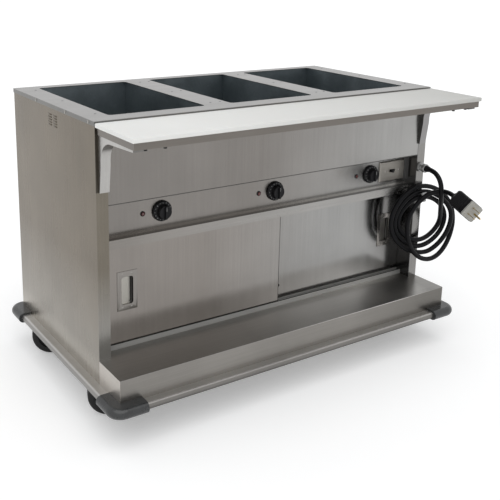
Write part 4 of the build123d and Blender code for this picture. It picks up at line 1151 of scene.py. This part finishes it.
# %% Door pulls
PULL_Z = 0.366
PULL_X = 0.500
DOOR_FRONT = {"left": -0.1705, "right": -0.153}
PULL_THICK = 0.0015
PULL_SINK = 0.0002
PULL_SIZE = (0.062, 0.116, 1)
PULL_BORDER = 0.012
OPENING_SQUEEZE = (1, 84 / 92, 1)
OPENING_REACH = 0.025
OPENING_ROUND = 0.008
OPENING_STEPS = 6
OPENING_LIP = 0.0008
MIDDLE_REACH = 0.005
CUP_DEPTH = 0.0100
WALL_DROP = 0.35 * CUP_DEPTH
FLOOR_DROP = 0.20 * CUP_DEPTH
FLOOR_TILT = 0.45 * CUP_DEPTH
TILT_START = 0.30 * CUP_DEPTH
RECESS_START = 0.002
CUP_HALF = 0.016
CUP_WALL = 0.0022
CUP_FLOOR = 0.004
CUP_LIP_X = 0.009
PULL_SHEET = 0.0011
PULL_SCREW_X = 0.014
PULL_SCREW_Z = 0.050
PULL_SCREW_SINK = 0.0006
PULL_SLOT = (1, 0, 0.6)


def in_opening(point):
    """The corners of the opening."""
    return abs(point.x) < OPENING_REACH


def in_middle(centre, normal):
    """The face that closes the opening."""
    return centre.length < MIDDLE_REACH


def make_pull(name):
    """A flush pull as one sheet, with its recess along -Z and deeper towards +X."""
    clear_selection()
    bpy.ops.mesh.primitive_plane_add(size=1, location=(0, 0, 0))
    piece = started(name)
    piece.scale = PULL_SIZE
    take(piece)
    bpy.ops.object.transform_apply(location=True, rotation=True, scale=True)
    edit(piece)
    bpy.ops.mesh.select_all(action="SELECT")
    bpy.ops.mesh.inset(thickness=PULL_BORDER)
    bpy.ops.transform.resize(value=OPENING_SQUEEZE, center_override=(0, 0, 0))
    pick_points(piece, in_opening)
    bpy.ops.mesh.bevel(offset=OPENING_ROUND, segments=OPENING_STEPS, affect="VERTICES")
    pick_faces(piece, in_middle)
    bpy.ops.mesh.inset(thickness=OPENING_LIP)
    extrude_up(-WALL_DROP)
    bpy.ops.mesh.inset(thickness=CUP_WALL)
    bpy.ops.transform.translate(value=(0, 0, -FLOOR_DROP))
    bpy.ops.mesh.inset(thickness=CUP_FLOOR)
    bpy.ops.mesh.subdivide(number_cuts=1)
    bpy.ops.object.mode_set(mode="OBJECT")
    for point in piece.data.vertices:
        if point.co.z < -TILT_START:
            share = min(1.0, max(0.0, (point.co.x + CUP_HALF) / (2 * CUP_HALF)))
            point.co.z -= FLOOR_TILT * share
    apply_modifier(piece, "SOLIDIFY", thickness=PULL_SHEET, offset=-1.0)
    outward(piece)
    soften(piece, FINE_EDGE)
    return piece


for side_name, sign in (("left", -1), ("right", 1)):
    pull = make_pull(side_name + "_flush_pull")
    pull_x = sign * PULL_X
    face_y = DOOR_FRONT[side_name] - PULL_THICK + PULL_SINK
    set_in_place(pull, (pull_x, face_y, PULL_Z))
    dress(pull, pull_steel, side_name + "_door", "pull_metal", side_name + "_pull")
    pull.data.materials.append(lit_cup_steel)
    pull.data.materials.append(shaded_lip_steel)
    # Painted light on the recess's shallow side, painted shade on its deep side.
    for face in pull.data.polygons:
        if face.center.y > face_y + RECESS_START:
            face.material_index = 1 if face.center.x - pull_x < CUP_LIP_X else 2
    pull_places = [(pull_x + x, face_y + PULL_SCREW_SINK, PULL_Z + z)
                   for x in (-PULL_SCREW_X, PULL_SCREW_X) for z in (-PULL_SCREW_Z, PULL_SCREW_Z)]
    pull_screws = screw_set(side_name + "_pull_screws", small_screw, pull_places,
                            FORWARD, PULL_SLOT)
    dress(pull_screws, screw_steel, side_name + "_door", "screw_steel")
    print(side_name, "pull faces", len(pull.data.polygons))

# %% [markdown]
# ## Small marks on the sheet
# The liners are fixed from below, and the fixings show on the deck as shallow
# round spots in rows. A plugged hole sits low on the rear door. The apron and
# the front door end in a narrow hem, darkened as painted shade, a dark strip of
# painted shadow lies on the lower track, and each vent slot has a pressed lip
# over it. A bump could hint at such marks, but small meshes cast real shadows.

# %% Deck spots, door button, hems, painted track shadow and vent lips
DECK_Z = 0.864
SPOT_YS = [316.0, 104.0, -119.0]
SPOT_XS = [-563.0, -200.0, -167.0, 196.0, 227.0, 586.0]
SPOT_RINGS = [(-0.0004, 0.0034), (0.0002, 0.0034), (0.0006, 0.0026), (0.0004, 0.0012)]
SPOT_SIDES = 16
BUTTON_RINGS = [(-0.003, 0.003), (0.0, 0.003), (0.0, 0.0046), (0.0006, 0.0044),
                (0.0011, 0.0034), (0.0012, 0.0012)]
BUTTON_SIDES = 24
BUTTON_X = 0.0462
BUTTON_Z = 0.256
HEM = ((1.146, 0.0018, 0.0018), (0, -0.2129, 0.6353), 0.0006, 3)
EDGE = ((0.0014, 0.0010, 0.3205), (0.0319, -0.1707, 0.36175), 0.0004, 2)
# A dark strip of painted shadow where the door meets the top of the lower track.
TRACK_SHADOW = ((1.146, 0.0012, 0.0022), (0, -0.1732, 0.2123), 0.0005, 2)
STRIPS = [
    ("apron_hem", HEM, shaded_hem_steel, "table", "inner_steel"),
    ("door_edge", EDGE, shaded_hem_steel, "left_door", "body_steel"),
    ("track_shadow_strip", TRACK_SHADOW, shadow_and_plug_black, "table", "inner_steel"),
]
VENT_COLUMNS = [0.0525, 0.0905]
VENT_ROWS = 5
VENT_PITCH = 0.0075
VENT_TOP = 0.8324
LIP_X = 0.6086
LIP_SIZE = (0.0016, 0.0264, 0.0021)
LIP_EDGE = 0.0007

spot = turned("deck_spot", SPOT_RINGS, SPOT_SIDES)
spots = []
for y in SPOT_YS:
    for x in SPOT_XS:
        piece = copy_of(spot, f"deck_spot_{len(spots)}")
        spots.append(set_in_place(piece, (x * MM, y * MM, DECK_Z), UPWARD))
bpy.data.objects.remove(spot)
deck_spots = dress(joined("deck_spots", spots), inner_steel, "table", "inner_steel")

button = turned("door_button", BUTTON_RINGS, BUTTON_SIDES)
soften(button, TINY_EDGE)
set_in_place(button, (BUTTON_X, DOOR_FRONT["right"], BUTTON_Z))
dress(button, shadow_and_plug_black, "right_door", "black_plastic")
for master in (pan_screw, small_screw):
    bpy.data.objects.remove(master)

for name, (size, middle, edge, steps), finish, body, slot in STRIPS:
    strip = bar(name, size, middle)
    soften(strip, edge, steps)
    dress(strip, finish, body, slot)

lips = []
for sign in (-1, 1):
    for column in VENT_COLUMNS:
        for row in range(VENT_ROWS):
            lip_place = (sign * LIP_X, column, VENT_TOP - row * VENT_PITCH)
            lip = bar(f"vent_lip_{len(lips)}", LIP_SIZE, lip_place)
            soften(lip, LIP_EDGE)
            lips.append(lip)
vent_lips = dress(joined("vent_lips", lips), left_side_steel, "table", "body_steel")
print("vent lips", len(vent_lips.data.polygons))
print("deck spots", len(deck_spots.data.polygons))

# %% [markdown]
# ## Studio
# A wide pale floor and a white world stand for the studio sweep. The floor has a
# little glow of its own, so that it reads as white while it still takes the
# table's shadow. One wide soft sun and the sky light the table at a plain level.

# %% Floor
FLOOR_SIDE = 60
FLOOR_ROUGHNESS = 0.9
FLOOR_CLOUDS = (0.6, 0.6, 0.6)
FLOOR_TONES = (even(0.80), even(0.82))
FLOOR_GLOW = 0.28
WHITE = (1, 1, 1, 1)
clear_selection()
bpy.ops.mesh.primitive_plane_add(size=FLOOR_SIDE, location=(0, 0, 0))
floor = started("studio_floor")
floor_finish, floor_tree, floor_shader, floor_coords = new_finish("studio_floor", FLOOR_ROUGHNESS)
floor_clouds = noise(floor_tree, floor_coords, FLOOR_CLOUDS)
floor_tone = tinted(floor_tree, floor_clouds, *FLOOR_TONES)
floor_tree.links.new(floor_tone, floor_shader.inputs["Base Color"])
floor_shader.inputs["Specular IOR Level"].default_value = 0.0
floor_shader.inputs["Emission Color"].default_value = WHITE
floor_shader.inputs["Emission Strength"].default_value = FLOOR_GLOW
floor.data.materials.append(floor_finish)
print("floor side", FLOOR_SIDE)

# %% World
SKY_FILL = 0.65
SKY_TINT = (0.98, 0.99, 1.0, 1)
world = bpy.data.worlds.new("studio_world")
scene.world = world
world.use_nodes = True
sky = world.node_tree
sky.nodes.clear()


def background(colour, strength):
    """A plain background of one colour."""
    node = sky.nodes.new("ShaderNodeBackground")
    node.inputs["Color"].default_value = colour
    node.inputs["Strength"].default_value = strength
    return node.outputs["Background"]


backdrop = background(WHITE, 1.0)
fill = background(SKY_TINT, SKY_FILL)
rays = sky.nodes.new("ShaderNodeLightPath").outputs
seen = rays["Is Camera Ray"]
for kind in ("Is Glossy Ray", "Is Transmission Ray"):
    either = sky.nodes.new("ShaderNodeMath")
    either.operation = "MAXIMUM"
    sky.links.new(seen, either.inputs[0])
    sky.links.new(rays[kind], either.inputs[1])
    seen = either.outputs["Value"]
choice = sky.nodes.new("ShaderNodeMixShader")
sky.links.new(seen, choice.inputs["Fac"])
sky.links.new(fill, choice.inputs[1])
sky.links.new(backdrop, choice.inputs[2])
output = sky.nodes.new("ShaderNodeOutputWorld")
sky.links.new(choice.outputs["Shader"], output.inputs["Surface"])
print("world nodes", len(sky.nodes))

# %% Sun
SUN_ENERGY = 1.3
SUN_SPREAD = math.radians(70)
SUN_HEADING = Vector((0.25, 0.42, -1.0))
sun_data = bpy.data.lights.new("soft_sun", "SUN")
sun_data.energy = SUN_ENERGY
sun_data.angle = SUN_SPREAD
sun = bpy.data.objects.new("soft_sun", sun_data)
scene.collection.objects.link(sun)
sun.rotation_mode = "QUATERNION"
sun.rotation_quaternion = SUN_HEADING.to_track_quat("-Z", "Y")
scene.view_settings.view_transform = "Standard"
print("sun", SUN_ENERGY)

# %% [markdown]
# ## Last update
# The dressed table has to stay in the frame's box. This last cell only brings the
# view layer up to date.

# %% Update the view layer
bpy.context.view_layer.update()
